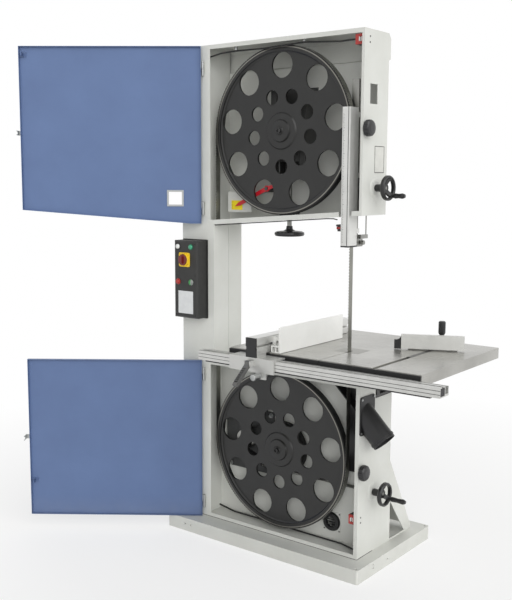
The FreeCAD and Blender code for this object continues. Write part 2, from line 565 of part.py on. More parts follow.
def motor_tension():
    y, z = SCREW_Y, SCREW_Z
    x_rim, grip = LOWER_R + 52, polar(y, z, HANDWHEEL_R - 9, -39)
    tail = motor_bolts()[-1][0] - 45
    save("motor_screw", fuse(rod("x", SCREW_R, tail, x_rim + 2, y, z), collar(LOWER_R, SCREW_R, 2.4, y, z)))
    save("motor_handwheel", handwheel(LOWER_R + 7, x_rim, y, z, SCREW_R, grip, x_rim + 86))
    save("motor_handle", hand_grip(x_rim + 19, x_rim + 86, grip))


# ---------------------------------------------------------------- blade tension
def slide_guides():
    """Inner ironwork of the upper box: carriage rails, screw bearing, post guide and pointer stand."""
    back = UPPER_DEPTH - WALL
    half = 60.0
    g0, g1 = TENSION_Y - TONGUE / 2 - SLIP, TENSION_Y + TONGUE / 2 + SLIP
    z0, z1 = UPPER_Z - 176, UPPER_Z + 174
    rails = []
    for s in (-1, 1):
        def side(a, b, *rest, sign=s):
            return box(*sorted((sign * a, sign * b)), *rest)
        rail = cut(side(half + 1, half + 30, BLOCK_Y[0] + 2, BLOCK_Y[1] - 2, z0, z1),
                   side(half, half + TONGUE + 0.5, g0, g1, z0 - 1, z1 + 1))
        rails += [rail, side(half + 18, half + 30, BLOCK_Y[1] - 3, back - 4, z0, z1)]
    frame = fuse(box(-half - 32, half + 32, back - 5, back, z0 - 10, z1 + 10), *rails)
    seat = [(-32, underside(-32, WALL)), (32, underside(32, WALL)), (32, BEARING_TOP), (-32, BEARING_TOP)]
    bearing = cut(prism("y", seat, TENSION_Y - 30, TENSION_Y + 30),
                  rod("z", TENSION_R + FIT, UPPER_BOTTOM, BEARING_TOP + 1, 0, TENSION_Y))
    save("slide_guides", frame, bearing, post_guide(back), pointer_stand(back))


def post_guide(back):
    """Two hooked blocks that hold the post and its rack, tied to the back wall by a web."""
    x0, x1 = POST_X, POST_X + POST_W
    open_y = POST_BACK + SLIP
    hook = [(x0 - 8, POST_Y - 3), (x0 + 6, POST_Y - 3), (x0 + 6, POST_Y - SLIP), (x0 - SLIP, POST_Y - SLIP),
            (x0 - SLIP, open_y), (RACK_X[0] - SLIP, open_y), (RACK_X[0] - SLIP, POST_BACK + 12),
            (RACK_X[1] + SLIP, POST_BACK + 12), (RACK_X[1] + SLIP, open_y), (x1 - 0.5, open_y),
            (x1 - 0.5, 104), (x0 - 8, 104)]
    spans = ((PINION_Z - 104, PINION_Z - 16), (PINION_Z + 16, PINION_Z + 58))
    blocks = [prism("z", hook, *span) for span in spans]
    web = cut(box(x0 - 8, x0 - 2, 90, back, spans[0][0], spans[1][1]),
              rod("x", SHAFT_R + FIT, x0 - 9, x0, PINION_Y, PINION_Z))
    shelves = [box(x0 - 8, x1 - 0.5, 103, back, z, z + 8)
               for low, high in spans for z in (low, high - 8)]
    foot = box(x0 - 8, x1 - 0.5, back - 5, back, spans[0][0], spans[1][1])
    return fuse(*blocks, web, foot, *shelves)


def pointer_stand(back):
    """Bent scale plate and the pointer's pivot, both standing off the back wall."""
    px, pz = PIVOT
    sheet = box(OPEN_L + 34, px - 90, 86, 88, pz - 105, pz - 15)
    flange = box(OPEN_L + 34, px - 90, 86, back, pz - 17, pz - 15)
    post = box(px - 8, px + 7, 92, back, pz - 9, pz + 9)
    tie = box(px - 92, px - 6, back - 10, back, pz - 17, pz - 5)
    pin = fuse(rod("y", 5, 72, 93, px, pz), rod("y", 9, 84, 93, px, pz), rod("y", 8, 71, 75.5, px, pz))
    return fuse(sheet, flange, tie, post, pin)


def tension_carriage():
    """Sliding block with the fixed upper axle, a disc-spring stack below and the pointer's push rod."""
    y0, y1 = BLOCK_Y
    z0, z1 = UPPER_Z - 126, UPPER_Z + 100
    bore = TENSION_R + FIT
    block = box(-60, 60, y0, y1, z0, z1)
    tongue = box(-60 - TONGUE, 60 + TONGUE, TENSION_Y - TONGUE / 2, TENSION_Y + TONGUE / 2, z0, z1)
    axle = rod("y", AXLE_R, RIM_Y[0] + 8, y0 + 2, 0, UPPER_Z)
    discs = [(bore, z0 + 2), (24, z0 + 2)]
    for k in range(6):
        discs += [(19, z0 - 2 - 8 * k), (19, z0 - 4 - 8 * k), (12.5, z0 - 7 - 8 * k)]
    discs += [(17, z0 - 49), (17, z0 - 62), (bore, z0 - 62)]
    foot = box(-42, -28, y0 - 16, y0 + 1, z0 + 2, z0 + 14)
    push = rod("z", 3, PIVOT[1] + 27, z0 + 3, PIVOT[0] + 65, y0 - 10)
    body = fuse(block, tongue, axle, lathe("z", discs, 0, TENSION_Y), foot, push)
    save("tension_carriage", cut(body, rod("z", bore, z0 - 70, z0 + 94, 0, TENSION_Y)))


def tension_drive():
    y, low = TENSION_Y, UPPER_BOTTOM - 44
    screw = rod("z", TENSION_R, low + 16, UPPER_Z - 66, 0, y)
    stop = ring("z", 17, TENSION_R - 1, BEARING_TOP + 1, BEARING_TOP + 10, 0, y)
    save("tension_screw", fuse(screw, stop))
    rim = lathe("z", [(0, low + 2), (50, low), (61, low + 2), (65, low + 9), (63, low + 17), (54, low + 21),
                      (26, low + 24), (15, low + 30), (13, low + 44), (0, low + 44)], 0, y)
    save("tension_handwheel", cut(rim, rod("z", TENSION_R, low + 16, low + 50, 0, y)))


def tension_pointer():
    """Lever on a pin: the long arm points at the scale, the short arm lies under the push rod."""
    px, pz = PIVOT
    y0, y1 = BLOCK_Y[0] - 14, BLOCK_Y[0] - 8
    lever = prism("y", [(px - 176, pz - 80), (px - 148, pz - 76), (px, pz - 9), (px + 72, pz + 17),
                        (px + 72, pz + 25), (px, pz + 10), (px - 156, pz - 62)], y0, y1)
    eye = rod("y", 13, y0, y1, px, pz)
    save("tension_pointer", cut(fuse(lever, eye), rod("y", 5 + FIT, y0 - 1, y1 + 1, px, pz)))


# ---------------------------------------------------------------- blade guide and guard


def rack_profile(z0, z1, backlash):
    """Straight-sided teeth standing towards the back, as (y, z) points, with a space at the pinion's height."""
    pitch, slope = math.pi * MODULE, math.tan(math.radians(20))
    tip = RACK_PITCH + 0.8 * MODULE
    half_root = pitch / 4 + (RACK_PITCH - RACK_ROOT) * slope - backlash / 2
    half_tip = pitch / 4 - (tip - RACK_PITCH) * slope - backlash / 2
    first = math.ceil((z0 - PINION_Z) / pitch) + 1
    last = math.floor((z1 - PINION_Z) / pitch) - 1
    pts = [(POST_BACK - 0.5, z0), (RACK_ROOT, z0)]
    for k in range(first, last):
        c = PINION_Z + (k + 0.5) * pitch
        pts += [(RACK_ROOT, c - half_root), (tip, c - half_tip), (tip, c + half_tip),
                (RACK_ROOT, c + half_root)]
    return pts + [(RACK_ROOT, z1), (POST_BACK - 0.5, z1)]


def pinion_profile(backlash):
    """Involute outline in the YZ plane with one tooth pointing at the rack."""
    n, r = PINION_TEETH, PITCH_R
    slope = math.radians(20)
    base = r * math.cos(slope)
    root, tip = r - 1.15 * MODULE, r + 0.8 * MODULE
    half = math.pi / (2 * n) + math.tan(slope) - slope - backlash / (2 * r)
    flank = [(root, half)]
    for i in range(5):
        rr = base + (tip - base) * i / 4.0
        phi = math.acos(base / rr)
        flank.append((rr, half - (math.tan(phi) - phi)))
    pts = []
    for k in range(n):
        mid = math.pi + 2 * math.pi * k / n
        both = [(q, mid - a) for q, a in flank] + [(q, mid + a) for q, a in reversed(flank)]
        pts += [(PINION_Y + q * math.cos(a), PINION_Z + q * math.sin(a)) for q, a in both]
    return pts


def guide_post():
    post = box(POST_X, POST_X + POST_W, POST_Y, POST_BACK, POST_BOTTOM, POST_TOP)
    rack = prism("x", rack_profile(POST_BOTTOM + 64, POST_TOP - 2, 0.3), *RACK_X)
    stop_rod = rod("z", 2.5, POST_BOTTOM + 4, POST_BOTTOM + 514, ROD_X, ROD_Y)
    z = POST_BOTTOM + 2
    clamp = fuse(box(RACK_X[0], ROD_X + 6, POST_BACK - 1, POST_BACK + 18, z, z + 16),
                 box(ROD_X - 8, ROD_X + 6, POST_BACK + 17, ROD_Y + 6, z, z + 16))
    save("guide_post", fuse(post, rack, stop_rod, clamp))


def blade_guard():
    """Angle-shaped guard in front of and beside the blade, held off the post by three tabs."""
    (x0, x1), t = GUARD_X, GUARD_T
    z0, z1 = GUARD_BOTTOM, GUARD_TOP
    front = box(x0, x1, 3, 3 + t, z0, z1)
    side = box(x1 - t, x1, 3, POST_Y - 6, z0, z1)
    scale_rib = box(x0 + 3, x0 + 15, 2.6, 4, z0 + 12, z1 - 12)
    joint = box(x1 - 9, x1 - 7.5, 2, 4, z0 - 1, z1 + 1)
    tabs = [fuse(box(x1 - t, x1, POST_Y - 7, POST_BACK + 2, z, z + 20),
                 box(POST_X + POST_W, x1 - 1, POST_Y + 2, POST_BACK - 1, z + 4, z + 16))
            for z in (z0 + 54, (z0 + z1) / 2, z1 - 38)]
    save("blade_guard", cut(fuse(front, side, scale_rib, *tabs), joint))


def guide_head():
    """Block under the post with a guide pad each side of the blade and a pocket for the thrust roller."""
    x0, x1 = POST_X, GUARD_X[1]
    z0, z1 = GUARD_BOTTOM, POST_BOTTOM
    block = box(x0, x1, POST_Y - 4, POST_BACK + 30, z0, z1)
    faces = (WHEEL_R - SLIP, WHEEL_R + BLADE_T + SLIP)
    left = box(faces[0] - 18, faces[0], 40, POST_Y - 3, z0 + 2, z1 - 8)
    right = box(faces[1], faces[1] + 10, 40, POST_Y - 3, z0 + 2, z1 - 8)
    pocket = box(ROLLER_X[0] - 1, ROLLER_X[1] + 1, POST_Y - 12, ROLLER_Y + ROLLER_R + 2, z0 + 1, z1 + 1)
    slot = box(faces[0], faces[1], 39, POST_Y - 3, z0 - 1, z1 + 1)
    axle = rod("x", 4, ROLLER_X[0] - 3, ROLLER_X[1] + 3, ROLLER_Y, ROLLER_Z)
    knob = fuse(rod("x", 4, x1 - 2, x1 + 6, POST_BACK + 16, z0 + 16),
                rod("x", 9, x1 + 5, x1 + 15, POST_BACK + 16, z0 + 16))
    save("guide_head", fuse(cut(fuse(block, left, right), pocket, slot), axle, knob))


def thrust_roller():
    save("thrust_roller", ring("x", ROLLER_R, 4 + FIT, ROLLER_X[0], ROLLER_X[1], ROLLER_Y, ROLLER_Z))


def guide_drive():
    y, z = PINION_Y, PINION_Z
    x_rim, grip = UPPER_R + 52, polar(y, z, HANDWHEEL_R - 9, -49)
    pinion = prism("x", pinion_profile(0.3), RACK_X[0] + 1, RACK_X[1] - 1)
    shaft = rod("x", SHAFT_R, POST_X - 8, x_rim + 2, y, z)
    save("guide_shaft", fuse(pinion, shaft, collar(UPPER_R, SHAFT_R, 8, y, z)))
    save("guide_handwheel", handwheel(UPPER_R + 7, x_rim, y, z, SHAFT_R, grip, x_rim + 68))
    save("guide_handle", hand_grip(x_rim + 19, x_rim + 68, grip))


def lower_guides():
    """Fixed guide block below the table: two side pads and a back pad on an arm from the cradle."""
    x = WHEEL_R + BLADE_T / 2
    z0, z1 = TABLE_BOTTOM - 60, TABLE_BOTTOM - 26
    y = POST_Y
    arm = fuse(box(x - 34, x + 34, y, y + 18, z0, z1),
               box(x - 30, x + 30, y + 17, CRADLE_FRONT, z0, z1 - 14))
    pads = [box(*sorted((x + s * (BLADE_T / 2 + SLIP), x + s * 30)), BLADE_Y[0] + 7, y - 14, z0 + 6, z1 - 6)
            for s in (-1, 1)]
    cheeks = [box(*sorted((x + s * 22, x + s * 34)), y - 15, y + 1, z0, z1) for s in (-1, 1)]
    back = box(x - 6, x + 6, BLADE_Y[1] + SLIP, y + 1, z0 + 6, z1 - 6)
    save("lower_guides", fuse(arm, *pads, *cheeks, back))


# ---------------------------------------------------------------- table


def table():
    """Cast table: ribbed below, with the blade slit, insert seat and mitre slot."""
    (x0, x1), (y0, y1), z0, z1 = TABLE_X, TABLE_Y, TABLE_BOTTOM, TABLE_Z
    rim, skin, rib = 16.0, 20.0, 12.0
    seg0, seg1 = SEGMENT_Y[0] - 4, SEGMENT_Y[1] - 4
    xs = [x0 + rim, WHEEL_R - 230, WHEEL_R - 114, WHEEL_R + 120, SLOT_X - 28, SLOT_X + 48, x1 - rim]
    ys = [y0 + rim, INSERT_FRONT - 14, seg0, seg1 + 32, seg1 + 170, y1 - rim]
    pockets = []
    for a, b in zip(xs, xs[1:]):
        for c, d in zip(ys, ys[1:]):
            pockets.append(box(a + (rib / 2 if a != xs[0] else 0), b - (rib / 2 if b != xs[-1] else 0),
                               c + (rib / 2 if c != ys[0] else 0), d - (rib / 2 if d != ys[-1] else 0),
                               z0 - 1, z1 - skin))
    holes = [box(*INSERT_X, INSERT_FRONT, INSERT_BACK, z1 - INSERT_T, z1 + 1),
             box(INSERT_X[0] + 12, INSERT_X[1] - 12, INSERT_FRONT + 4, INSERT_BACK - 12, z0 - 1, z1),
             box(WHEEL_R - 1, WHEEL_R + BLADE_T + 1, y0 - 1, INSERT_FRONT + 5, z0 - 1, z1 + 1),
             box(SLOT_X, SLOT_X + SLOT_W, y0 - 1, y1 + 1, z1 - SLOT_D, z1 + 1),
             cone("x", 6, 4, WHEEL_R - 20, WHEEL_R + 20, y0 + 9, z1 - 16)]
    save("table", cut(box(x0, x1, y0, y1, z0, z1), *(pockets + holes)))


def table_insert():
    """Insert plate with its slit, and the taper pin across the front of the table's slit."""
    g, (x0, x1), tilt = 0.2, INSERT_X, math.radians(TILT_MAX)
    slit_right = (BLADE_T + 1.5 + INSERT_T * math.sin(tilt)) / math.cos(tilt)
    plate = cut(box(x0 + g, x1 - g, INSERT_FRONT + g, INSERT_BACK - g, TABLE_Z - INSERT_T, TABLE_Z),
                box(WHEEL_R - 2, WHEEL_R + slit_right, INSERT_FRONT - 1, BLADE_Y[1] + 9,
                    TABLE_Z - 10, TABLE_Z + 1))
    pin = cone("x", 5.95, 4.15, WHEEL_R - 20, WHEEL_R + 16, TABLE_Y[0] + 9, TABLE_Z - 16)
    save("table_insert", plate, pin)


def table_trunnion():
    """Two half-moon segments under the table, plus the bar on its front edge that carries the rail."""
    z0 = TABLE_BOTTOM
    parts = []
    for a in SEGMENT_Y:
        b = a + SEGMENT_W
        moon = rod("y", TRUNNION_R, a, b, WHEEL_R, TABLE_Z)
        moon = moon.common(box(WHEEL_R - 105, WHEEL_R + 105, a - 1, b + 1, TABLE_Z - TRUNNION_R - 1,
                               z0 - 9))
        moon = cut(moon, rod("y", TRUNNION_R - 58, a - 1, b + 1, WHEEL_R, TABLE_Z))
        parts.append(fuse(moon, box(WHEEL_R - 112, WHEEL_R + 112, a - 8, b + 8, z0 - 10, z0)))
    bar = box(*TABLE_X, TABLE_Y[0] - 8, TABLE_Y[0], TABLE_Z - 46, TABLE_Z - 4)
    slit = box(WHEEL_R - 1, WHEEL_R + BLADE_T + 1, TABLE_Y[0] - 9, TABLE_Y[0] + 1, TABLE_Z - 30, TABLE_Z)
    save("table_trunnion", *parts, cut(bar, slit))


def trunnion_cradle():
    """Saddle on the cabinet's rear leg; its two hollow seats carry the half-moon segments."""
    x0, x1 = LEG_LEFT, LOWER_R - 2
    y0, y1 = CRADLE_FRONT, SEGMENT_Y[1] + SEGMENT_W + 10
    plate = box(x0, x1, y0, y1, LEG_TOP, LEG_TOP + 12)
    seats = []
    for a in SEGMENT_Y:
        saddle = prism("y", [(x0 + 26, LEG_TOP + 10), (x1, LEG_TOP + 10), (x1 - 8, LEG_TOP + 84),
                             (x0 + 42, LEG_TOP + 84)], a, a + SEGMENT_W)
        seats.append(cut(saddle, rod("y", TRUNNION_R + SLIP, a - 1, a + SEGMENT_W + 1, WHEEL_R, TABLE_Z)))
    tie = box(x0 + 40, x1 - 20, SEGMENT_Y[0] + SEGMENT_W - 1, SEGMENT_Y[1] + 1, LEG_TOP + 10, LEG_TOP + 26)
    x = WHEEL_R + BLADE_T / 2
    horn = fuse(box(x - 30, x + 30, y0, SEGMENT_Y[0] - 3, LEG_TOP + 10, TABLE_BOTTOM - 40),
                box(x - 30, x + 30, SEGMENT_Y[0] - 4, SEGMENT_Y[0] + 1, LEG_TOP + 10, LEG_TOP + 40))
    save("trunnion_cradle", fuse(plate, *seats, tie, horn))


def fence_rail():
    """Aluminium rail: hollow front bar with two grooves, a back lip and its spacers."""
    (y0, y1), (z0, z1) = RAIL_Y, RAIL_Z
    outline = [(y0, z0), (y1, z0), (y1, z1 - 4), (y1 - 4, z1 - 4), (y1 - 4, z0 + 8), (y0 + 42, z0 + 8),
               (y0 + 42, z1), (y0, z1)]
    x0, x1 = RAIL_X[0] - 1, RAIL_X[1] + 1
    grooves = [box(x0, x1, y0 - 1, y0 + 1.5, z0 + dz, z0 + dz + 2) for dz in (11, 25)]
    hollow = [box(x0, x1, y0 + 4, y0 + 38, z0 + 4, z1 - 4), box(x0, x1, y0 + 16, y0 + 26, z1 - 5, z1 + 1)]
    keel = box(RAIL_X[0] + 30, RAIL_X[1] - 43, y0 + 12, y0 + 34, z0 - RAIL_KEEL, z0)
    spacers = [box(x, x + 30, y1 - 1, TABLE_Y[0] - 8, z0 + 9, z1 - 4)
               for x in (TABLE_X[0] + 37, 330, TABLE_X[1] - 63)]
    save("fence_rail", fuse(cut(prism("x", outline, *RAIL_X), *(grooves + hollow)), keel, *spacers))


# ---------------------------------------------------------------- rip fence


def fence_carriage():
    """Saddle over the front and top of the rail, with the lever's bracket and the fine-setting spindle."""
    x0, x1 = CARRIAGE_X, CARRIAGE_X + CARRIAGE_W
    (y0, y1), (z0, z1) = RAIL_Y, RAIL_Z
    g, t = SLIP, 8.0
    saddle = prism("x", [(y0 - t, z0 - 14), (y0 - g, z0 - 14), (y0 - g, z1 + g), (y1 + 1.5, z1 + g),
                         (y1 + 1.5, z1 + 6), (y0 - t, z1 + 6)], x0, x1)
    toe = box(x0 + 20, x1 - 20, y0 - 1, y0 + t, z0 - 14, z0 - RAIL_KEEL - g)
    seat = box(ARM_X, ARM_X + ARM_W, y0 - 1, y1 - 8, z1 + 5, ARM_BOTTOM)
    cheeks = [box(x, x + 6, y0 - 34, y0 - t + 1, LEVER_Z - 11, LEVER_Z + 11)
              for x in (LEVER_X - 18, LEVER_X + 12)]
    pin = rod("x", 5, LEVER_X - 13, LEVER_X + 13, LEVER_Y, LEVER_Z)
    lug = box(KNOB_X - 24, KNOB_X + 26, y0 - t, y0 - 1.5, KNOB_Z - 15, z0 - 13)
    body = fuse(saddle, toe, seat, *cheeks, pin, lug)
    save("fence_carriage", cut(body, rod("y", 5 + FIT, y0 - t - 1, y0, KNOB_X, KNOB_Z)))


def fence_arm():
    """T-slotted bar lying across the table on the carriage, with its end cap."""
    x0, x1, z0 = ARM_X, ARM_X + ARM_W, ARM_BOTTOM
    z1, y0, y1 = z0 + ARM_H, RAIL_FRONT - 8, 448.0
    slot = [box(x1 - 9, x1 + 1, y0 + 5, y1 + 1, z0 + 28, z0 + 38),
            box(x1 - 14, x1 - 8, y0 + 5, y1 + 1, z0 + 23, z0 + 43)]
    bar = cut(box(x0, x1, y0 + 6, y1, z0, z1), *slot, box(x0 + 6, x1 - 20, y0 + 5, y1 + 1, z0 + 6, z1 - 6))
    notches = [box(a - 3, a + 3, y0 - 1, y0 + 7, z0 + 18, z0 + 30) for a in (x0, x1)]
    save("fence_arm", fuse(bar, cut(box(x0, x1, y0, y0 + 6, z0 - 13, z1), *notches)))


def fence_plate():
    """Tall fence face with its hollow foot, and the block and tongue that run in the arm's slot."""
    x1, y0 = FENCE_FACE, TABLE_Y[0]
    y1, z0 = y0 + FENCE_L, TABLE_Z + 1.5
    z1 = TABLE_Z + FENCE_H
    face = box(x1 - 7, x1, y0, y1, z0, z1)
    foot = cut(box(x1 - 44, x1 - 1, y0, y1, z0, z0 + 28),
               *[box(x1 - a, x1 - b, y0 - 1, y1 + 1, z0 + 4, z0 + 24) for a, b in ((40, 26), (22, 8))])
    a, b = y0 + 30, y0 + 110
    arm_face, mid = ARM_X + ARM_W, ARM_BOTTOM + 33
    block = box(arm_face + SLIP, x1 - 43, a, b, z0 + 8, ARM_BOTTOM + ARM_H - 6)
    tongue = box(arm_face - 8, arm_face + 1, a + 4, b - 4, mid - 4.6, mid + 4.6)
    shelf = box(x1 - 44, x1 - 6, a + 4, b - 4, z0 + 44, z0 + 54)
    save("fence_plate", fuse(face, foot, block, tongue, shelf))


def fence_lever():
    """Clamp lever hanging forward and down from its cross pin, with a ladder of pockets in its grip."""
    w = 10.7
    hub = rod("x", 11, LEVER_X - w, LEVER_X + w, 0, 0)
    arm = prism("x", [(6, 6), (-4, -9), (-40, -8), (6 - LEVER_L, -9), (-LEVER_L, -6), (-LEVER_L, 5),
                      (6 - LEVER_L, 8), (-40, 6)], LEVER_X - w, LEVER_X + w)
    pockets = [box(LEVER_X - w + 3, LEVER_X + w - 3, -36 - 11 * k, -28 - 11 * k, 1, 12) for k in range(7)]
    lever = cut(fuse(hub, arm), rod("x", 5 + FIT, LEVER_X - 20, LEVER_X + 20, 0, 0), *pockets)
    lever.rotate(V(0, 0, 0), DIRS["x"], 42)
    lever.translate(V(0, LEVER_Y, LEVER_Z))
    save("fence_lever", lever)


def fence_knob():
    """Knurled knob, spindle and the small roller that runs along the rail's underside."""
    y0 = RAIL_FRONT
    roller = RAIL_BOTTOM - RAIL_KEEL - KNOB_Z - SLIP
    save("fence_knob", lathe("y", [(0, y0 - 60), (11, y0 - 60), (13, y0 - 58), (13, y0 - 18),
                                   (9, y0 - 14), (9, y0 - 8.4), (5, y0 - 8.4), (5, y0 + 13),
                                   (roller, y0 + 13), (roller, y0 + 23), (0, y0 + 23)], KNOB_X, KNOB_Z))


# ---------------------------------------------------------------- mitre gauge


def mitre_bar():
    px, py = MITRE
    bar = box(SLOT_X + 0.15, SLOT_X + SLOT_W - 0.15, py - 204, py + 196, TABLE_Z - SLOT_D + 0.3, TABLE_Z)
    pivot = rod("z", 6, TABLE_Z - 1, TABLE_Z + 16, px, py)
    stud = rod("z", 5, TABLE_Z - 1, TABLE_Z + 70, px, py + MITRE_CLAMP)
    save("mitre_bar", fuse(bar, pivot, stud))


def mitre_head():
    """Half-round protractor head with its curved slot, fence bar and end block, turned to its set angle."""
    px, py = MITRE
    z0, z1 = TABLE_Z + 0.5, TABLE_Z + 10.5
    plate = cut(rod("z", MITRE_CLAMP + 18, z0, z1, px, py),
                box(px - 120, px + 120, py - 120, py - 6, z0 - 1, z1 + 1))
    slot_r = 5.4
    slot = cut(rod("z", MITRE_CLAMP + slot_r, z0 - 1, z1 + 1, px, py),
               rod("z", MITRE_CLAMP - slot_r, z0 - 2, z1 + 2, px, py),
               box(px - 120, px + 120, py - 120, py + 22, z0 - 2, z1 + 2))
    back = box(px - 70, px + 70, py - 8, py, z0, TABLE_Z + 44)
    f0, f1, fy = px - 128, px + 128, py - 26
    bar = cut(box(f0, f1, fy, fy + 19, TABLE_Z + 6, TABLE_Z + 64),
              box(f0 - 1, f1 + 1, fy + 5, fy + 14, TABLE_Z + 12, TABLE_Z + 58))
    block = cut(box(f0 - 28, f0 + 1, fy + 2, fy + 17, TABLE_Z + 3, TABLE_Z + 54),
                rod("y", 22, fy, fy + 20, f0 - 22, TABLE_Z + 62))
    head = cut(fuse(plate, back, bar, block), slot, rod("z", 6 + FIT, z0 - 1, TABLE_Z + 17, px, py))
    head.rotate(V(px, py, 0), DIRS["z"], MITRE_ANGLE)
    save("mitre_head", head)


def mitre_handle():
    px, py, z = MITRE[0], MITRE[1] + MITRE_CLAMP, TABLE_Z
    bore = 5 + FIT
    save("mitre_handle", lathe("z", [(bore, z + 11.2), (8, z + 11.2), (8, z + 50), (13, z + 56),
                                     (15, z + 62), (15, z + 106), (11, z + 110), (0, z + 111),
                                     (0, z + 71), (bore, z + 71)], px, py))


# ---------------------------------------------------------------- doors
def opened(shape):
    out = shape.copy()
    out.rotate(V(HINGE_X, HINGE_Y, 0), DIRS["z"], -DOOR_OPEN)
    return out


def door_outline(kind, inset):
    x0, x1 = DOOR_LEFT + inset, DOOR_RIGHT[kind] - inset
    if kind == "upper":
        low, top = (lambda x: underside(x, 2 + inset)), UPPER_TOP - 4 - inset
        return [(x0, low(x0)), (COLUMN_R, low(COLUMN_R)), (x1, low(x1)), (x1, top), (x0, top)]
    return [(x0, BASE_H + 2 + inset), (x1, BASE_H + 2 + inset), (x1, LOWER_TOP - 2 - inset),
            (x0, LOWER_TOP - 2 - inset)]


def hinge_heights(kind):
    """Height of the split of each of the door's two hinges."""
    return (UPPER_BOTTOM + 70, UPPER_TOP - 99) if kind == "upper" else (BASE_H + 70, LOWER_TOP - 65)


def door(kind):
    """Flanged sheet pan, open towards the machine."""
    (y0, y1), t = DOOR_Y, DOOR_T
    pan = cut(prism("y", door_outline(kind, 0), y0, y1), prism("y", door_outline(kind, t), y0 + t, y1 + 1))
    if kind == "upper":
        w, h = WINDOW_W / 2, WINDOW_H / 2
        pan = cut(pan, box(WINDOW_X - w, WINDOW_X + w, y0 - 1, y1 + 1, WINDOW_Z - h, WINDOW_Z + h))
    save(kind + "_door", opened(pan))


def door_fittings(kind):
    """Hinge barrels, window frame, slotted lock tab and interlock key carried by a door."""
    (y0, y1), t = DOOR_Y, DOOR_T
    wall, z, zk = WALL_X[kind], LOCK_Z[kind], KEY_Z[kind]
    bits = []
    for h in hinge_heights(kind):
        leaf = box(HINGE_X + 2, DOOR_LEFT, HINGE_Y - 2, HINGE_Y + 2, h + 1, h + 30)
        bits.append(cut(fuse(rod("z", 6, h + 1, h + 30, HINGE_X, HINGE_Y), leaf),
                        rod("z", HINGE_PIN_R + FIT, h, h + 31, HINGE_X, HINGE_Y)))
    out = wall + 0.8
    tab = fuse(box(DOOR_RIGHT[kind], out + 3, y0 + 4, y0 + 7, z - 10, z + 10),
               box(out, out + 3, y0 + 4, LOCK_Y + 11, z - 10, z + 10))
    mouth = LOCK_R + 0.7
    bits.append(cut(tab, rod("x", mouth, out - 1, out + 4, LOCK_Y, z),
                    box(out - 1, out + 4, LOCK_Y, LOCK_Y + 12, z - mouth, z + mouth)))
    bits.append(fuse(box(KEY_X[kind] - 14, KEY_X[kind] + 14, y0 + t, y0 + t + 4, zk - 10, zk + 10),
                     box(KEY_X[kind] - 2, KEY_X[kind] + 2, y0 + t, 20, zk - 7, zk + 7)))
    if kind == "upper":
        w, h = WINDOW_W / 2, WINDOW_H / 2
        def pane(out, ya, yb):
            return box(WINDOW_X - w - out, WINDOW_X + w + out, ya, yb, WINDOW_Z - h - out, WINDOW_Z + h + out)
        bits.append(cut(pane(5, y0 + t, y0 + t + 4), pane(-3, y0, y1)))
    save(kind + "_door_fittings", *[opened(b) for b in bits])


def hinge_leaves():
    """Frame halves of the four hinges, each with its pin."""
    bits = []
    for kind in ("lower", "upper"):
        for h in hinge_heights(kind):
            leaf = fuse(box(HINGE_X - 24, HINGE_X - 2, -3, 0, h - 30, h),
                        box(HINGE_X - 6, HINGE_X - 2, HINGE_Y, -2, h - 30, h))
            bits.append(fuse(rod("z", 6, h - 30, h, HINGE_X, HINGE_Y), leaf,
                             rod("z", HINGE_PIN_R, h - 5, h + 28, HINGE_X, HINGE_Y)))
    save("hinge_leaves", *bits)


def door_locks():
    """Fluted knob on a stud through the side wall, with a nut inside."""
    for kind, wall in WALL_X.items():
        z, x0 = LOCK_Z[kind], wall + 5
        knob = lathe("x", [(0, x0), (26, x0), (32, x0 + 5), (33, x0 + 12), (32, x0 + 22), (27, x0 + 27),
                           (14, x0 + 29), (0, x0 + 29)], LOCK_Y, z)
        flutes = around(rod("x", 6, x0 - 1, x0 + 30, LOCK_Y + 36, z), "x", V(0, LOCK_Y, z),
                        [40 * k for k in range(9)])
        stud = rod("x", LOCK_R, wall - WALL - 6, x0 + 2, LOCK_Y, z)
        nut = rod("x", 9, wall - WALL - 9, wall - WALL - SLIP, LOCK_Y, z)
        save(kind + "_lock", fuse(cut(knob, *flutes), stud, nut))


# ---------------------------------------------------------------- safety, electrics, ports
def safety_switches():
    """Two door interlocks inside the right walls and the guide-height switch under the upper box."""
    bits = []
    for kind, wall in WALL_X.items():
        z, kx = KEY_Z[kind], KEY_X[kind]
        body = box(wall - WALL - 44, wall - WALL, 8, 46, z - 20, z + 20)
        bits.append(cut(body, box(kx - 4, kx + 4, 7, 28, z - 10, z + 10)))
    x0, x1 = POST_X - 30, POST_X - 2
    roof = prism("y", [(x0, underside(x0)), (x1, underside(x1)), (x1, UPPER_BOTTOM + 18),
                       (x0, UPPER_BOTTOM + 18)], 14, 40)
    bits.append(fuse(roof, box(x0 + 5, x1 - 5, 17, 37, UPPER_BOTTOM - 8, UPPER_BOTTOM + 19)))
    save("safety_switches", *bits)


def switch_cables():
    """Cables of the three switches, laid along the top, the floor and the sloping bottom of the boxes."""
    top, low, side = UPPER_TOP - 30, BASE_H + WALL + 5, DIVIDER + WALL
    upper_end = UPPER_R - WALL - 44
    lower_end = (LOWER_R - WALL - 22, 27, KEY_Z["lower"] - 20)
    upper = [(side, 19, top - 22), (-308, 19, top - 8), (-222, 19, top - 4), (-77, 19, top - 6),
             (131, 19, top + 2), (300, 19, top - 10), (upper_end, 20, top - 8)]
    lower = [(side, 110, low + 10), (-296, 100, low), (-132, 100, low), (40, 92, low), (300, 90, low),
             (lower_end[0], 60, low), (lower_end[0], 27, low + 30), lower_end]
    x = POST_X - 30
    limit = [(-330, 3.2, underside(-330) - 3.2), (x - 40, 3.2, underside(x - 40) - 3.2),
             (x - 12, 14, underside(x) - 6), (x, 25, underside(x) - 10)]
    save("switch_cables", cable(upper, 3.5), cable(lower, 3.5), cable(limit, 2.2))


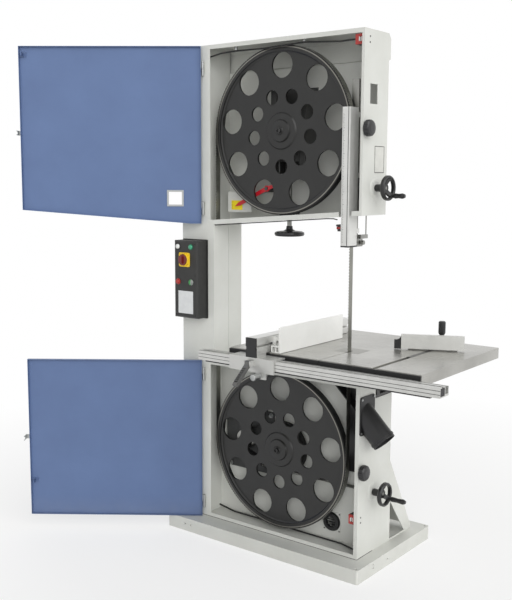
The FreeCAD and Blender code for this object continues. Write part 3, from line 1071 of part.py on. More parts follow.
def control_box():
    """Chamfered enclosure on a flange, with bores for the dial and the two buttons."""
    x0, x1, z0, z1 = PANEL_X, PANEL_X + PANEL_W, PANEL_Z, PANEL_Z + PANEL_H
    body = box(x0, x1, PANEL_Y, -5, z0, z1)
    body = body.makeChamfer(7, [e for e in body.Edges if abs(e.CenterOfMass.y - PANEL_Y) < 0.1])
    flange = rounded_box("y", 4, x0 - 2, x1 + 4, -6, 0, z0 - 4, z1 + 4)
    holes = [rod("y", BUTTON_R + FIT, PANEL_Y - 1, PANEL_Y + 30, *c) for c in (STOP, START)]
    holes.append(rod("y", DIAL_R + FIT, PANEL_Y - 1, PANEL_Y + 20, *DIAL))
    plugs = [rod("y", 2.5, PANEL_Y - 1, PANEL_Y + 1.2, x, z) for x in (x0 + 14, x1 - 14)
             for z in (z0 + 14, STOP[1] + 29)]
    save("control_box", cut(fuse(flange, body), *holes, *plugs))


def panel_parts():
    """Lamps, dial plate, blank label plates and button collars, and the tension scale's plate."""
    y, (x, z) = PANEL_Y, DIAL
    bits = [fuse(rod("y", 11, y - 3, y, *c), cone("y", 6, 9, y - 9, y - 3, *c)) for c in LAMPS]
    bits.append(cut(rounded_box("y", 6, x - 32, x + 32, y - 3, y, z - 32, z + 32),
                    rod("y", DIAL_R + FIT, y - 4, y + 1, x, z)))
    bits.append(box(x - 38, x + 50, y - 1, y, PANEL_Z + 20, PANEL_Z + 122))
    bits += [ring("y", BUTTON_R + 5, BUTTON_R + FIT, y - 4, y, *c) for c in (STOP, START)]
    bits.append(box(PIVOT[0] - 202, PIVOT[0] - 140, 84.5, 86, PIVOT[1] - 95, PIVOT[1] - 54))
    bits.append(box(UPPER_R, UPPER_R + 1, 88, 166, PINION_Z + 58, PINION_Z + 167))
    save("panel_parts", *bits)


def switch_dial():
    (x, z), y = DIAL, PANEL_Y
    body = lathe("y", [(0, y + 16), (DIAL_R, y + 16), (DIAL_R, y - 3.3), (19, y - 3.3), (20, y - 7),
                       (18, y - 14), (0, y - 14)], x, z)
    save("switch_dial", fuse(body, box(x - 5, x + 5, y - 26, y - 13, z - 17, z + 17)))


def buttons():
    y, r = PANEL_Y, BUTTON_R
    for name, (x, z), out in (("stop_button", STOP, 9), ("start_button", START, 7)):
        outline = [(0, y + 18), (r, y + 18), (r, y - out + 1.5), (r - 1.5, y - out), (0, y - out)]
        save(name, lathe("y", outline, x, z))


def dust_ports():
    """Angled outlet on the right wall and the small screened port on the back wall."""
    r, y, z, ro = LOWER_R, PORT_Y, PORT_Z, PORT_R
    flange = rounded_box("x", 12, r, r + 5, y - ro - 6, y + ro + 6, z - ro - 30, z + ro + 30)
    d = V(1, 0, -1).normalize()
    start = V(r - 40, y, z + 24)
    pipe = Part.makeCylinder(ro, 178, start, d)
    bead = Part.makeCylinder(ro + 2.5, 9, start + d * 158, d)
    keep = box(r + 1, r + 300, y - 100, y + 100, z - 300, z + 300)
    inner = Part.makeCylinder(ro - 3, 200, start - d * 4, d)
    outlet = cut(fuse(flange, pipe.common(keep), bead), inner)
    vx, vz = VENT
    plate = cut(box(vx - 44, vx + 44, BACK_FACE - 3, BACK_FACE, vz - 44, vz + 44),
                rod("y", 24, BACK_FACE - 4, BACK_FACE + 1, vx, vz))
    collar_ = ring("y", 38, 24, BACK_FACE - 14, BACK_FACE - 2, vx, vz)
    bars = [box(vx - 24, vx + 24, BACK_FACE - 12, BACK_FACE - 9, vz + k - 1.5, vz + k + 1.5)
            for k in (-12, 0, 12)]
    save("dust_ports", outlet, fuse(plate, collar_, *bars))


def frame_bolts():
    """Shoulder bolts of the motor plate, cable clips and the screws of the dust outlet."""
    face = BACK_FACE - SLIP - 10
    bits = [fuse(rod("y", 4.8, face - 2, LOWER_DEPTH + 2, x, z),
                 rod("y", 11, face - 3, face - SLIP, x, z),
                 hexagon("y", 9, face - 9, face - 2.5, x, z),
                 hexagon("y", 8, LOWER_DEPTH, LOWER_DEPTH + 6, x, z)) for x, z in motor_bolts()]
    top = UPPER_TOP - 30
    bits += [box(x - 5, x + 5, 15.5, 23, top + dz + 3.5, UPPER_TOP - WALL)
             for x, dz in ((-222, -4), (131, 2))]
    bits += [hexagon("x", 5, LOWER_R + 5, LOWER_R + 9, PORT_Y + sy * (PORT_R - 3),
                     PORT_Z + sz * (PORT_R + 20)) for sy in (-1, 1) for sz in (-1, 1)]
    save("frame_bolts", *bits)


def cable_gland():
    """Gland for the mains lead, low on the back of the column: lock nut inside, hexagon and dome outside."""
    x, z, back = (LEFT + COLUMN_R) / 2, LOWER_TOP + GLAND_UP, COLUMN_BACK
    body = lathe("y", [(GLAND_BORE, back - 14), (GLAND_R, back - 14), (GLAND_R, back + 14),
                       (GLAND_R + 1, back + 14), (GLAND_R + 1, back + 22), (GLAND_R - 4, back + 30),
                       (GLAND_BORE, back + 30)], x, z)
    nuts = [cut(hexagon("y", GLAND_R + 6, a, b, x, z), rod("y", GLAND_R - 1, a - 1, b + 1, x, z))
            for a, b in ((back, back + 8), (back - 11, back - 5))]
    save("cable_gland", fuse(body, *nuts))


# ---------------------------------------------------------------- build
for build in (base_plinth, lower_cabinet, rear_legs, column, upper_box, lower_axle, wheels, blade,
              drive_belt, motor, motor_pulley, motor_tension, slide_guides, tension_carriage,
              tension_drive, tension_pointer, guide_post, blade_guard, guide_head, thrust_roller,
              guide_drive, lower_guides, table, table_insert, table_trunnion, trunnion_cradle, fence_rail,
              fence_carriage, fence_arm, fence_plate, fence_lever, fence_knob, mitre_bar, mitre_head,
              mitre_handle, hinge_leaves, door_locks, safety_switches, switch_cables, control_box,
              panel_parts, switch_dial, buttons, dust_ports, frame_bolts, cable_gland):
    build()
for side in ("upper", "lower"):
    door(side)
    door_fittings(side)
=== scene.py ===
# %% [markdown]
# # An upright band saw, dressed for the camera
# The model of the machine is loaded as a fixed frame: every casting, sheet and shaft already has its true
# place. This notebook lights it, gives each surface the finish that the real machine has, and adds the
# small pieces that are easier to make in Blender than in CAD, such as saw teeth, lenses, plates and ruler
# marks.

# %% Load the frame
import json
import math
import bmesh
import bpy
from mathutils import Matrix, Vector


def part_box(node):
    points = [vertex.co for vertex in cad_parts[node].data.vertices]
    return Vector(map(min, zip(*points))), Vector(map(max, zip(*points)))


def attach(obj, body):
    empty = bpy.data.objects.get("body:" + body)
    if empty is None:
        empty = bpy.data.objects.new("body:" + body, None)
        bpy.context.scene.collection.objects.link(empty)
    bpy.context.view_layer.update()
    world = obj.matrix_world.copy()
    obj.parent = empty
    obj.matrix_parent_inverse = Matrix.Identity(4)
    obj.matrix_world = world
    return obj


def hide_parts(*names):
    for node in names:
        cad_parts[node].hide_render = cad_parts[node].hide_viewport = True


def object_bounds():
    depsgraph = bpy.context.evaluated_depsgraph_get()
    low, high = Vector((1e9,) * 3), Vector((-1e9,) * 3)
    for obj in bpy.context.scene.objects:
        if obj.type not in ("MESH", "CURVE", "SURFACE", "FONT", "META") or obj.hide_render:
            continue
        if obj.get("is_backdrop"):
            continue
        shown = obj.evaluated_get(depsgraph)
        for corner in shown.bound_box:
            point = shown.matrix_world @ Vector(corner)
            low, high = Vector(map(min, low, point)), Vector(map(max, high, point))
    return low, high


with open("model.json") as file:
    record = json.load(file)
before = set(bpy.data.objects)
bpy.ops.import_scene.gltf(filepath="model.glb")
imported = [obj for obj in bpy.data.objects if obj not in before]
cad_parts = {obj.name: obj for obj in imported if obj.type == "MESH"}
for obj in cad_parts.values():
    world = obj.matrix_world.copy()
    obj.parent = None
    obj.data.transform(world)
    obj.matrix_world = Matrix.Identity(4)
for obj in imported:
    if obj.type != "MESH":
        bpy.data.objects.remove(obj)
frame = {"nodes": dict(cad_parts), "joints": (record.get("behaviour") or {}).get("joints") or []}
cad_low, cad_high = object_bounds()
nodes = frame["nodes"]
joints = {j["name"]: j for j in frame["joints"]}
size = [round(b - a, 3) for a, b in zip(cad_low, cad_high)]
print(len(nodes), "nodes,", len(joints), "joints, box", size, "m")

# %% [markdown]
# ## The camera
# The machine is seen from its right front corner at about chest height, a little from above. A long lens
# keeps the upright edges nearly parallel, as in a catalogue. A camera can be aimed with a Track To
# constraint; here it is turned by three plain angles, because they say how far it looks round, down and
# tilted. It comes first, since it settles which pieces deserve the most work.

# %% Camera
camera = bpy.data.objects.new("camera", bpy.data.cameras.new("camera"))
bpy.context.scene.collection.objects.link(camera)
bpy.context.scene.camera = camera
ROUND, DOWN, TILT = 38.0, 7.6, 0.2  # degrees
camera.location = (2.2974, -3.2841, 1.6139)
camera.rotation_euler = (Matrix.Rotation(math.radians(ROUND), 3, "Z")
                         @ Matrix.Rotation(math.radians(90.0 - DOWN), 3, "X")
                         @ Matrix.Rotation(math.radians(TILT), 3, "Z")).to_euler()
camera.data.sensor_fit = "VERTICAL"
camera.data.sensor_height = 36.0
camera.data.lens = 54.2
camera.data.shift_x = 0.0075
camera.data.clip_end = 60.0
print("camera", [round(v, 2) for v in camera.location], "lens", camera.data.lens, "mm")

# %% [markdown]
# ## Building a material
# A material is a small graph of nodes. One function adds a node, sets its choices and links its inputs, so
# each finish below reads as a list of what is in it. Colours are written as sRGB hex, the way paint cards
# give them, and turned to the linear values that light is worked out in.

# %% One function that adds a node, and one that converts colours
def linear(hex_code):
    """Turns an sRGB hex colour into the four linear values that a colour socket takes."""
    shares = [int(hex_code[i:i + 2], 16) / 255.0 for i in (1, 3, 5)]
    return tuple(c / 12.92 if c <= 0.04045 else ((c + 0.055) / 1.055) ** 2.4 for c in shares) + (1.0,)


def in_use(sockets):
    """A node lists a socket for each type of data it can handle; only the ones in use are enabled."""
    return [s for s in sockets if s.enabled]


def add(tree, kind, inputs=None, **choices):
    """Adds one node. choices are its settings; inputs are values, sockets, or nodes to link the result of."""
    node = tree.nodes.new(kind)
    for name, value in choices.items():
        setattr(node, name, value)
    for name, value in (inputs or {}).items():
        sockets = in_use(node.inputs)
        socket = sockets[name] if isinstance(name, int) else next(s for s in sockets if s.name == name)
        if isinstance(value, bpy.types.Node):
            value = in_use(value.outputs)[0]
        if isinstance(value, bpy.types.NodeSocket):
            tree.links.new(value, socket)
        else:
            socket.default_value = value
    return node


def blank_material(name):
    """A new material and its node graph, emptied of what Blender puts there."""
    material = bpy.data.materials.new(name)
    material.use_nodes = True
    material.node_tree.nodes.clear()
    return material, material.node_tree


MM = 0.001
print("mid grey is", round(linear("#808080")[0], 3), "in linear light")

# %% [markdown]
# ## Places on the machine
# The machine was drawn in millimetres from three natural zeros: the wheels' axis across, the front face of
# the cabinet front to back, and the floor. `at` turns such a place into the shared frame. Typing metres in
# the shared frame would work too, but this way the zeros, the wheels and the walls are read from the loaded
# model.

# %% Places
upper_axis = Vector(joints["upper_wheel_spin"]["pos_m"])
lower_axis = Vector(joints["lower_wheel_spin"]["pos_m"])
ZERO = Vector((lower_axis.x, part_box("lower_cabinet")[0].y, 0.0))


def at(x, y, z):
    """A place in millimetres from the wheels' axis, the cabinet's front and the floor, in metres."""
    return ZERO + Vector((x, y, z)) * MM


def middle(node):
    low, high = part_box(node)
    return (low + high) / 2


BAND_THICK = 1.0  # the saw band's thickness in mm
band_low, band_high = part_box("blade")
WHEEL_R = (band_high.x - band_low.x) / 2 / MM - BAND_THICK
LOWER_Z, UPPER_Z = lower_axis.z / MM, upper_axis.z / MM
SHAFT_BOSS = 6.0  # the boss round each side handwheel's shaft stands this far out of the right wall
LOWER_WALL = (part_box("lower_cabinet")[1].x - ZERO.x) / MM - SHAFT_BOSS
UPPER_WALL = (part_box("upper_box")[1].x - ZERO.x) / MM - SHAFT_BOSS
print("wheel radius", round(WHEEL_R, 1), "mm, axles at", round(LOWER_Z), "and", round(UPPER_Z), "mm")
print("right walls at", round(LOWER_WALL, 3), "and", round(UPPER_WALL, 3), "mm")

# %% [markdown]
# ## Building blocks for finishes
# Nearly every finish here varies a little in colour and has a fine relief. `mottle` gives the colour: two
# close shades mixed by a soft noise, because no painted or cast surface is one even colour. `relief` gives
# the bumps, sized from the real grain in millimetres. `within` marks a box and `joined` puts such masks
# together, for finishes that change from one place to another. All read object coordinates, which are
# metres and move with the piece. A painted texture could do the same, but it would have to be unwrapped and
# would show seams.

# %% Mottle, relief and masks
def mottle(tree, light, dark, size_mm):
    place = add(tree, "ShaderNodeTexCoord").outputs["Object"]
    noise = add(tree, "ShaderNodeTexNoise", {"Vector": place, "Scale": 1000.0 / size_mm, "Detail": 4.0,
                                             "Roughness": 0.6})
    ramp = add(tree, "ShaderNodeMapRange", {"Value": noise, "From Min": 0.3, "From Max": 0.7})
    return add(tree, "ShaderNodeMix", {"Factor": ramp, "A": linear(dark), "B": linear(light)},
               data_type="RGBA")


def relief(tree, size_mm, height_mm, stretch=(1, 1, 1), detail=3.0):
    place = add(tree, "ShaderNodeTexCoord").outputs["Object"]
    stretched = add(tree, "ShaderNodeMapping", {"Vector": place, "Scale": stretch})
    noise = add(tree, "ShaderNodeTexNoise", {"Vector": stretched, "Scale": 1000.0 / size_mm,
                                             "Detail": detail})
    return add(tree, "ShaderNodeBump", {"Height": noise, "Distance": height_mm * MM,
                                        "Strength": 0.6})


def joined(tree, how, *masks):
    """Joins masks of 0 and 1: with MAXIMUM any of them is enough, with MULTIPLY all of them have to be 1."""
    result, *others = masks
    for mask in others:
        result = add(tree, "ShaderNodeMath", {0: result, 1: mask}, operation=how)
    return result


def within(tree, low, high, turn=0.0, pivot=None):
    """A mask, 1 inside the box between two corners; the box may be turned about an upright line at pivot."""
    place = add(tree, "ShaderNodeTexCoord").outputs["Object"]
    if turn:
        place = add(tree, "ShaderNodeVectorRotate",
                    {"Vector": place, "Center": pivot, "Angle": -math.radians(turn)}, rotation_type="Z_AXIS")
    centre, half = (Vector(low) + Vector(high)) / 2, (Vector(high) - Vector(low)) / 2
    away = add(tree, "ShaderNodeVectorMath", {0: place, 1: centre}, operation="SUBTRACT")
    size = add(tree, "ShaderNodeVectorMath", {0: away}, operation="ABSOLUTE")
    split = add(tree, "ShaderNodeSeparateXYZ", {"Vector": size})
    inside = [add(tree, "ShaderNodeMath", {0: split.outputs[k], 1: half[k]}, operation="LESS_THAN")
              for k in range(3)]
    return joined(tree, "MULTIPLY", *inside)


def finish_surface(tree, **inputs):
    """Every finish ends alike: one shader that answers to all light, and the output."""
    names = {"color": "Base Color", "normal": "Normal", "metallic": "Metallic", "roughness": "Roughness",
             "coat": "Coat Weight", "ior": "IOR"}
    shader = add(tree, "ShaderNodeBsdfPrincipled", {names[k]: v for k, v in inputs.items()})
    add(tree, "ShaderNodeOutputMaterial", {"Surface": shader})


print("building blocks ready")

# %% [markdown]
# ## Powder coat on sheet steel
# The frame is folded steel sheet, sprayed with dry powder that melts into a tough skin. The melt leaves a
# faint orange-peel ripple about 2 mm across, drawn here at 4 mm so that it shows. It reflects softly. Near
# the floor a little sawdust and grime dulls it, so the colour darkens over the lowest 15 cm. The ripple
# could be modelled, but at this size a bump in the material gives the same soft shine and adds no faces.

# %% Powder coat
def powder_coat(name, light, dark, roughness, black_inside=None):
    material, tree = blank_material(name)
    place = add(tree, "ShaderNodeTexCoord").outputs["Object"]
    height = add(tree, "ShaderNodeSeparateXYZ", {"Vector": place}).outputs["Z"]
    low = add(tree, "ShaderNodeMapRange", {"Value": height, "From Min": 0.0, "From Max": 0.15, "To Min": 0.30,
                                           "To Max": 0.0})
    patches = add(tree, "ShaderNodeTexNoise", {"Vector": place, "Scale": 22.0, "Detail": 5.0})  # 45 mm wide
    dust = add(tree, "ShaderNodeMath", {0: low, 1: patches}, operation="MULTIPLY")
    paint, grime = mottle(tree, light, dark, 180.0), linear("#8F8C82")
    colour = add(tree, "ShaderNodeMix", {"Factor": dust, "A": paint, "B": grime}, data_type="RGBA")
    if black_inside:
        lining = mottle(tree, "#242424", "#1B1B1B", 30.0)
        colour = add(tree, "ShaderNodeMix", {"Factor": black_inside(tree), "A": colour, "B": lining},
                     data_type="RGBA")
    finish_surface(tree, color=colour, normal=relief(tree, 4.0, 0.03), roughness=roughness)
    return material


def dust_chamber(tree):
    """Black lining beside the lower wheel and above the slanted chute, where chips are led to the outlet."""
    corner = at(LOWER_WALL - 3.6, 122.6, 795.2)  # just inside the right wall, the back wall and the top
    beside = within(tree, at(WHEEL_R - 54, 50, 385), corner)
    chute_corner = within(tree, at(232, 71, 600), corner)
    place = add(tree, "ShaderNodeTexCoord").outputs["Object"]
    slant = add(tree, "ShaderNodeVectorMath", {0: place, 1: (1.0, 0.0, 1.0)}, operation="DOT_PRODUCT")
    line = at(233, 0, 796)
    above = add(tree, "ShaderNodeMath", {0: slant.outputs["Value"], 1: line.x + line.z},
                operation="GREATER_THAN")
    return joined(tree, "MAXIMUM", beside, joined(tree, "MULTIPLY", chute_corner, above))


grey_coat = powder_coat("powder_coat_light_grey", "#D3D4CF", "#CBCCC6", 0.42)
cabinet_coat = powder_coat("powder_coat_grey_with_lined_chute", "#D3D4CF", "#CBCCC6", 0.42,
                           black_inside=dust_chamber)
blue_coat = powder_coat("powder_coat_blue", "#586C92", "#53668B", 0.46)
print("made", grey_coat.name, "and", blue_coat.name)

# %% [markdown]
# ## Enamel on cast iron, with bare edges painted bright as highlights
# The wheels are grey iron cast in sand, so the enamel lies over a gentle texture of 1 to 3 mm. After
# painting, the front edge of each rim is turned on a lathe, which leaves a thin ring of bare iron; the ring
# is drawn light all round, partly real bare iron and partly a painted highlight of the edge catching the
# light.
# The ring could be a piece of its own; here it is found by its distance from the wheel's axis, so it stays
# round however the wheel turns and the wheel keeps its own mesh.

# %% Cast wheels
def cast_wheel(name, centre, bright_from, bright_to):
    material, tree = blank_material(name)
    place = add(tree, "ShaderNodeTexCoord").outputs["Object"]
    flat = add(tree, "ShaderNodeMapping", {"Vector": place, "Location": (-centre[0], 0.0, -centre[2]),
                                           "Scale": (1.0, 0.0, 1.0)})
    radius = add(tree, "ShaderNodeVectorMath", {0: flat}, operation="LENGTH")
    over = add(tree, "ShaderNodeMath", {0: radius, 1: bright_from}, operation="GREATER_THAN")
    under = add(tree, "ShaderNodeMath", {0: radius, 1: bright_to}, operation="LESS_THAN")
    ring = joined(tree, "MULTIPLY", over, under)
    # the ring's light bare iron is partly a painted highlight on the rim's front edge
    enamel, bare_iron_and_highlight = mottle(tree, "#1F1F1E", "#191918", 60.0), linear("#8F8D86")
    grooves = add(tree, "ShaderNodeMath", {0: radius, 1: 2600.0}, operation="MULTIPLY")  # one every 2.4 mm
    wave = add(tree, "ShaderNodeMath", {0: grooves}, operation="SINE")
    lathe_marks = add(tree, "ShaderNodeMapRange", {"Value": wave, "From Min": -1.0, "To Min": 0.30,
                                                   "To Max": 0.42})
    colour = add(tree, "ShaderNodeMix", {"Factor": ring, "A": enamel, "B": bare_iron_and_highlight}, data_type="RGBA")
    rough = add(tree, "ShaderNodeMix", {"Factor": ring, "A": 0.36, "B": lathe_marks})
    finish_surface(tree, color=colour, metallic=ring, roughness=rough,
                   normal=relief(tree, 3.0, 0.05))
    return material


rim = (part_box("upper_wheel")[1].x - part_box("upper_wheel")[0].x) / 2
bright = (rim - 4 * MM, rim + 1 * MM)  # the outer 4 mm of the rim, and 1 mm to spare
upper_cast = cast_wheel("enamelled_cast_iron_upper", upper_axis, *bright)
lower_cast = cast_wheel("enamelled_cast_iron_lower", lower_axis, *bright)
print("wheel rim radius", round(rim, 4), "m")

# %% [markdown]
# ## Other cast and painted iron
# The upper wheel's slide, the table's cradle and the motor are also enamelled castings, but nothing on them
# is left bright. The red pointer is enamelled sheet. One function makes them all from a pair of shades and
# a grain.

# %% Enamelled castings and strip
def enamelled(name, light, dark, roughness, grain_mm=3.0, height_mm=0.08):
    material, tree = blank_material(name)
    finish_surface(tree, color=mottle(tree, light, dark, 40.0), roughness=roughness,
                   normal=relief(tree, grain_mm, height_mm))
    return material


dark_casting = enamelled("enamelled_cast_iron_dark", "#4C4C4B", "#414140", 0.5)
motor_enamel = enamelled("enamelled_motor_housing", "#4C4D4D", "#434444", 0.5)
red_enamel = enamelled("red_enamelled_strip", "#C8202C", "#B51B26", 0.38, 6.0, 0.02)
print("castings ready")

# %% [markdown]
# ## Bare metals
# Each bare metal shows how it was worked. Extruded aluminium has die lines along its length and is
# anodised: the thin oxide skin scatters light, so it looks pale and soft, and less metallic than bare
# metal. Drawn bar and the saw band shine in streaks along their length. Zinc plate, the die-cast lever, the
# insert's alloy and black oxide have no direction. The streaks are one noise, stretched along the work; a
# texture of brushed metal would do it too, but would repeat.

# %% Metals
def worked_metal(name, light, dark, roughness, along, grain_mm, height_mm, metallic=1.0):
    """along names the axes of the work; roughness varies by 0.07 up and down."""
    material, tree = blank_material(name)
    stretch = tuple(0.02 if axis in along else 1.0 for axis in "xyz")
    place = add(tree, "ShaderNodeTexCoord").outputs["Object"]
    lines = add(tree, "ShaderNodeMapping", {"Vector": place, "Scale": stretch})
    streaks = add(tree, "ShaderNodeTexNoise", {"Vector": lines, "Scale": 1000.0 / grain_mm, "Detail": 5.0})
    rough = add(tree, "ShaderNodeMapRange", {"Value": streaks, "From Min": 0.3, "From Max": 0.7,
                                             "To Min": roughness - 0.07, "To Max": roughness + 0.07})
    finish_surface(tree, color=mottle(tree, light, dark, 90.0), metallic=metallic,
                   roughness=rough, normal=relief(tree, grain_mm, height_mm, stretch, 5.0))
    return material


anodised_x = worked_metal("anodised_aluminium_rail", "#C8C8C5", "#BDBDBA", 0.36, "x", 1.5, 0.02, metallic=0.6)
anodised_y = worked_metal("anodised_aluminium_fence", "#F2F2EF", "#ECECE9", 0.40, "y", 3.0, 0.001,
                          metallic=0.35)
drawn_steel = worked_metal("drawn_steel_bar", "#A3A39F", "#8C8C88", 0.34, "z", 1.2, 0.02)
zinc_plate = worked_metal("zinc_plated_steel", "#BFC1C0", "#AFB1B0", 0.36, "", 4.0, 0.02)
band_steel = worked_metal("spring_steel_band", "#979790", "#84847E", 0.30, "z", 1.5, 0.01, metallic=0.95)
lever_casting = worked_metal("die_cast_lever", "#6E6E6C", "#5E5E5C", 0.38, "", 5.0, 0.03, metallic=0.5)
insert_alloy = worked_metal("cast_alloy_insert", "#A3A29D", "#979691", 0.42, "", 2.0, 0.02, metallic=0.8)
black_oxide = worked_metal("black_oxide_steel", "#4A4A4A", "#3A3A3A", 0.3, "", 3.0, 0.01, metallic=0.9)
print("metals ready")

# %% [markdown]
# ## The ground iron table
# A cast table is machined flat and then ground. The grinder runs across it and leaves a fine straight lay,
# drawn at 2 mm so that it shows; oil and use leave wide cloudy patches. Iron is warmer in colour than
# steel, and the lay makes it shine in bands. It has a function of its own, because here the strokes change
# both colour and shine.

# %% Table finish
def ground_iron(name):
    material, tree = blank_material(name)
    place = add(tree, "ShaderNodeTexCoord").outputs["Object"]
    lay = (0.015, 1.0, 1.0)  # drawn out across the table
    along = add(tree, "ShaderNodeMapping", {"Vector": place, "Scale": lay})
    strokes = add(tree, "ShaderNodeTexNoise", {"Vector": along, "Scale": 500.0, "Detail": 5.0})
    clouds = mottle(tree, "#B9B8B3", "#A3A29D", 210.0)
    shade = add(tree, "ShaderNodeMapRange", {"Value": strokes, "From Min": 0.3, "From Max": 0.7,
                                             "To Min": 0.90, "To Max": 1.05})
    colour = add(tree, "ShaderNodeVectorMath", {0: clouds, "Scale": shade}, operation="SCALE")
    rough = add(tree, "ShaderNodeMapRange", {"Value": strokes, "From Min": 0.3, "From Max": 0.7,
                                             "To Min": 0.25, "To Max": 0.36})
    finish_surface(tree, color=colour, metallic=0.8, roughness=rough,
                   normal=relief(tree, 2.0, 0.012, lay, 5.0))
    return material


ground_table = ground_iron("ground_cast_iron_table")
print("table finish ready")

# %% [markdown]
# ## Rubber and plastics
# Tyres and the belt are black rubber: very dark, with a wide soft shine. Handwheels and knobs are a hard
# phenolic moulding with more gloss. The switch housing is ABS with a spark-eroded grain of about 1 mm,
# drawn at 2 mm. Buttons, lenses and printed plates are smooth, and the red ones have a clear skin. Lenses
# are frosted, so a pale glossy plastic stands for them and no glass shader is needed.

# %% Mouldings
def moulded(name, light, dark, roughness, grain_mm=2.0, height_mm=0.03, coat=0.0):
    material, tree = blank_material(name)
    finish_surface(tree, color=mottle(tree, light, dark, 25.0), roughness=roughness, coat=coat,
                   normal=relief(tree, grain_mm, height_mm), ior=1.5)
    return material


tyre_rubber = moulded("vulcanised_rubber", "#1D1D1D", "#161616", 0.62, 3.0, 0.05)
cable_pvc = moulded("pvc_cable_sheath", "#1A1A1B", "#141415", 0.5)
phenolic = moulded("black_phenolic_moulding", "#212122", "#1A1A1B", 0.3, 5.0, 0.01)
abs_black = moulded("black_abs_moulding", "#242425", "#1D1D1E", 0.5)
housing_abs = moulded("dark_grey_textured_abs", "#2A2A29", "#232322", 0.5, 2.0, 0.08)
red_plastic = moulded("red_polycarbonate", "#A8302A", "#962824", 0.3, 6.0, 0.005, 0.2)
dial_plastic = moulded("dark_red_polycarbonate", "#6E1D1B", "#611816", 0.32, 6.0, 0.005, 0.2)
scale_yellow = moulded("yellow_printed_scale", "#F0DA24", "#E6D01E", 0.42, 6.0, 0.005)
yellow_plastic = moulded("yellow_printed_plate", "#E9C52C", "#DEB822", 0.42, 6.0, 0.005)
white_plate = moulded("white_printed_plate", "#D8DADA", "#CED0D1", 0.42, 6.0, 0.005)
foil_plate = moulded("pale_grey_printed_foil", "#D2D2CC", "#C8C8C2", 0.36, 6.0, 0.005)
deep_green = moulded("dark_green_lens_ring", "#1F4737", "#1A3D2F", 0.3, 6.0, 0.005)
white_lens = moulded("frosted_white_lens", "#E6E8E6", "#DCDEDC", 0.22, 6.0, 0.005, 0.3)
green_lens = moulded("frosted_green_lens", "#3E9C76", "#348C69", 0.22, 6.0, 0.005, 0.3)
print("mouldings ready")

# %% [markdown]
# ## Two finishes on one piece
# Some pieces are one node but show two materials, such as a bright bar with a black end cap. Giving each
# face its own material would cut the CAD mesh up, so a mask tells them apart: where it is 1, the second
# finish shows. Each finish is a (hex, metallic, roughness) from the list below.

# %% Split finish
def split_finish(name, body, patch, region):
    """The whole piece shows body's (hex, metallic, roughness), and where region is 1 it shows patch's."""
    material, tree = blank_material(name)
    side = region(tree)
    tint = mottle(tree, "#FFFFFF", "#F0F0F0", 60.0)
    base = add(tree, "ShaderNodeMix", {"Factor": side, "A": linear(body[0]), "B": linear(patch[0])},
               data_type="RGBA")
    colour = add(tree, "ShaderNodeMix", {"Factor": 1.0, "A": base, "B": tint}, data_type="RGBA",
                 blend_type="MULTIPLY")
    metal = add(tree, "ShaderNodeMix", {"Factor": side, "A": body[1], "B": patch[1]})
    rough = add(tree, "ShaderNodeMix", {"Factor": side, "A": body[2], "B": patch[2]})
    finish_surface(tree, color=colour, metallic=metal, roughness=rough, normal=relief(tree, 2.0, 0.02))
    return material


ALUMINIUM, RAIL_ALUMINIUM = ("#DEDEDB", 0.75, 0.34), ("#D1D1CE", 0.75, 0.34)
GUARD_ALUMINIUM, MITRE_ALUMINIUM = ("#DADAD7", 0.3, 0.36), ("#D3D3CF", 0.5, 0.4)
BLACK, GREY, IRON = ("#1C1C1D", 0.0, 0.45), ("#CFD0CB", 0.0, 0.42), ("#464645", 0.0, 0.5)
GREEN, PALE, BLUE, ZINC = (("#3F9450", 0.0, 0.3), ("#8F9490", 0.0, 0.3), ("#4F6288", 0.0, 0.42),
                           ("#BFC1C0", 1.0, 0.36))
print("split finish ready")

# %% [markdown]
# ## Where the second finish lies
# Most masks are a box or two, measured from the piece's own box where they can be; one is what lies outside
# a circle. They move with the piece, because they are set in its own coordinates.

# %% Masks of the split finishes
FAR = 2000.0  # mm, beyond the machine on every side
FREE_EDGE = -600.0  # mm; the doors' free edges lie left of this, their hinges right of it
VENT_X, VENT_Z = 234.0, 143.0  # middle of the small port in the back wall
upper_key, lower_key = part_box("upper_box")[1].z / MM - 40, LOWER_Z - 214


def front_cap(tree):
    """The moulded cap on the front end of the fence's arm."""
    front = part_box("fence_arm")[0].y / MM - ZERO.y / MM
    return within(tree, at(-FAR, front - 1, 0), at(FAR, front + 6.2, FAR))


def front_bar(tree):
    """The bar under the table's front edge."""
    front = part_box("table")[0].y / MM - ZERO.y / MM
    return within(tree, at(-FAR, front - 40, 0), at(FAR, front + 0.4, FAR))


def end_block(tree):
    """The black block at the end of the mitre fence, which stands turned by 25 degrees at rest."""
    pivot = Vector(joints["mitre_swivel"]["pos_m"])
    low = pivot + Vector((-0.2, -0.1, -0.1))
    high = pivot + Vector((-0.1275, 0.1, 0.1))
    return within(tree, low, high, 25.0, pivot)


def keel_and_groove_shade(tree):
    """The black strip under the rail, and the two narrow grooves along its front, painted black as painted
    shade in them.
    """
    low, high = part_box("fence_rail")
    front, bottom = (low.y - ZERO.y) / MM, low.z / MM
    keel = within(tree, at(-FAR, -FAR, bottom - 1), at(FAR, FAR, bottom + 7.8))
    # the two grooves are painted black: painted shade in the grooves
    grooves = [within(tree, at(-FAR, front + 0.2, z), at(FAR, front + 1.6, z + 2))
               for z in (bottom + 19, bottom + 33)]
    return joined(tree, "MAXIMUM", keel, *grooves)


def guard_foot_and_groove_shade(tree):
    """The dark edge at the guard's foot, and the upright groove down its front, painted black as painted
    shade.
    """
    low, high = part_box("blade_guard")
    foot = within(tree, low - Vector((0.01, 0.01, 0.01)), Vector((high.x + 0.01, high.y, low.z + 0.006)))
    # the upright groove is painted black: painted shade in the groove
    line = within(tree, (high.x - 10 * MM, low.y - 0.001, low.z - 0.01),
                  (high.x - 7 * MM, low.y + 0.0022, high.z + 0.01))
    return joined(tree, "MAXIMUM", foot, line)


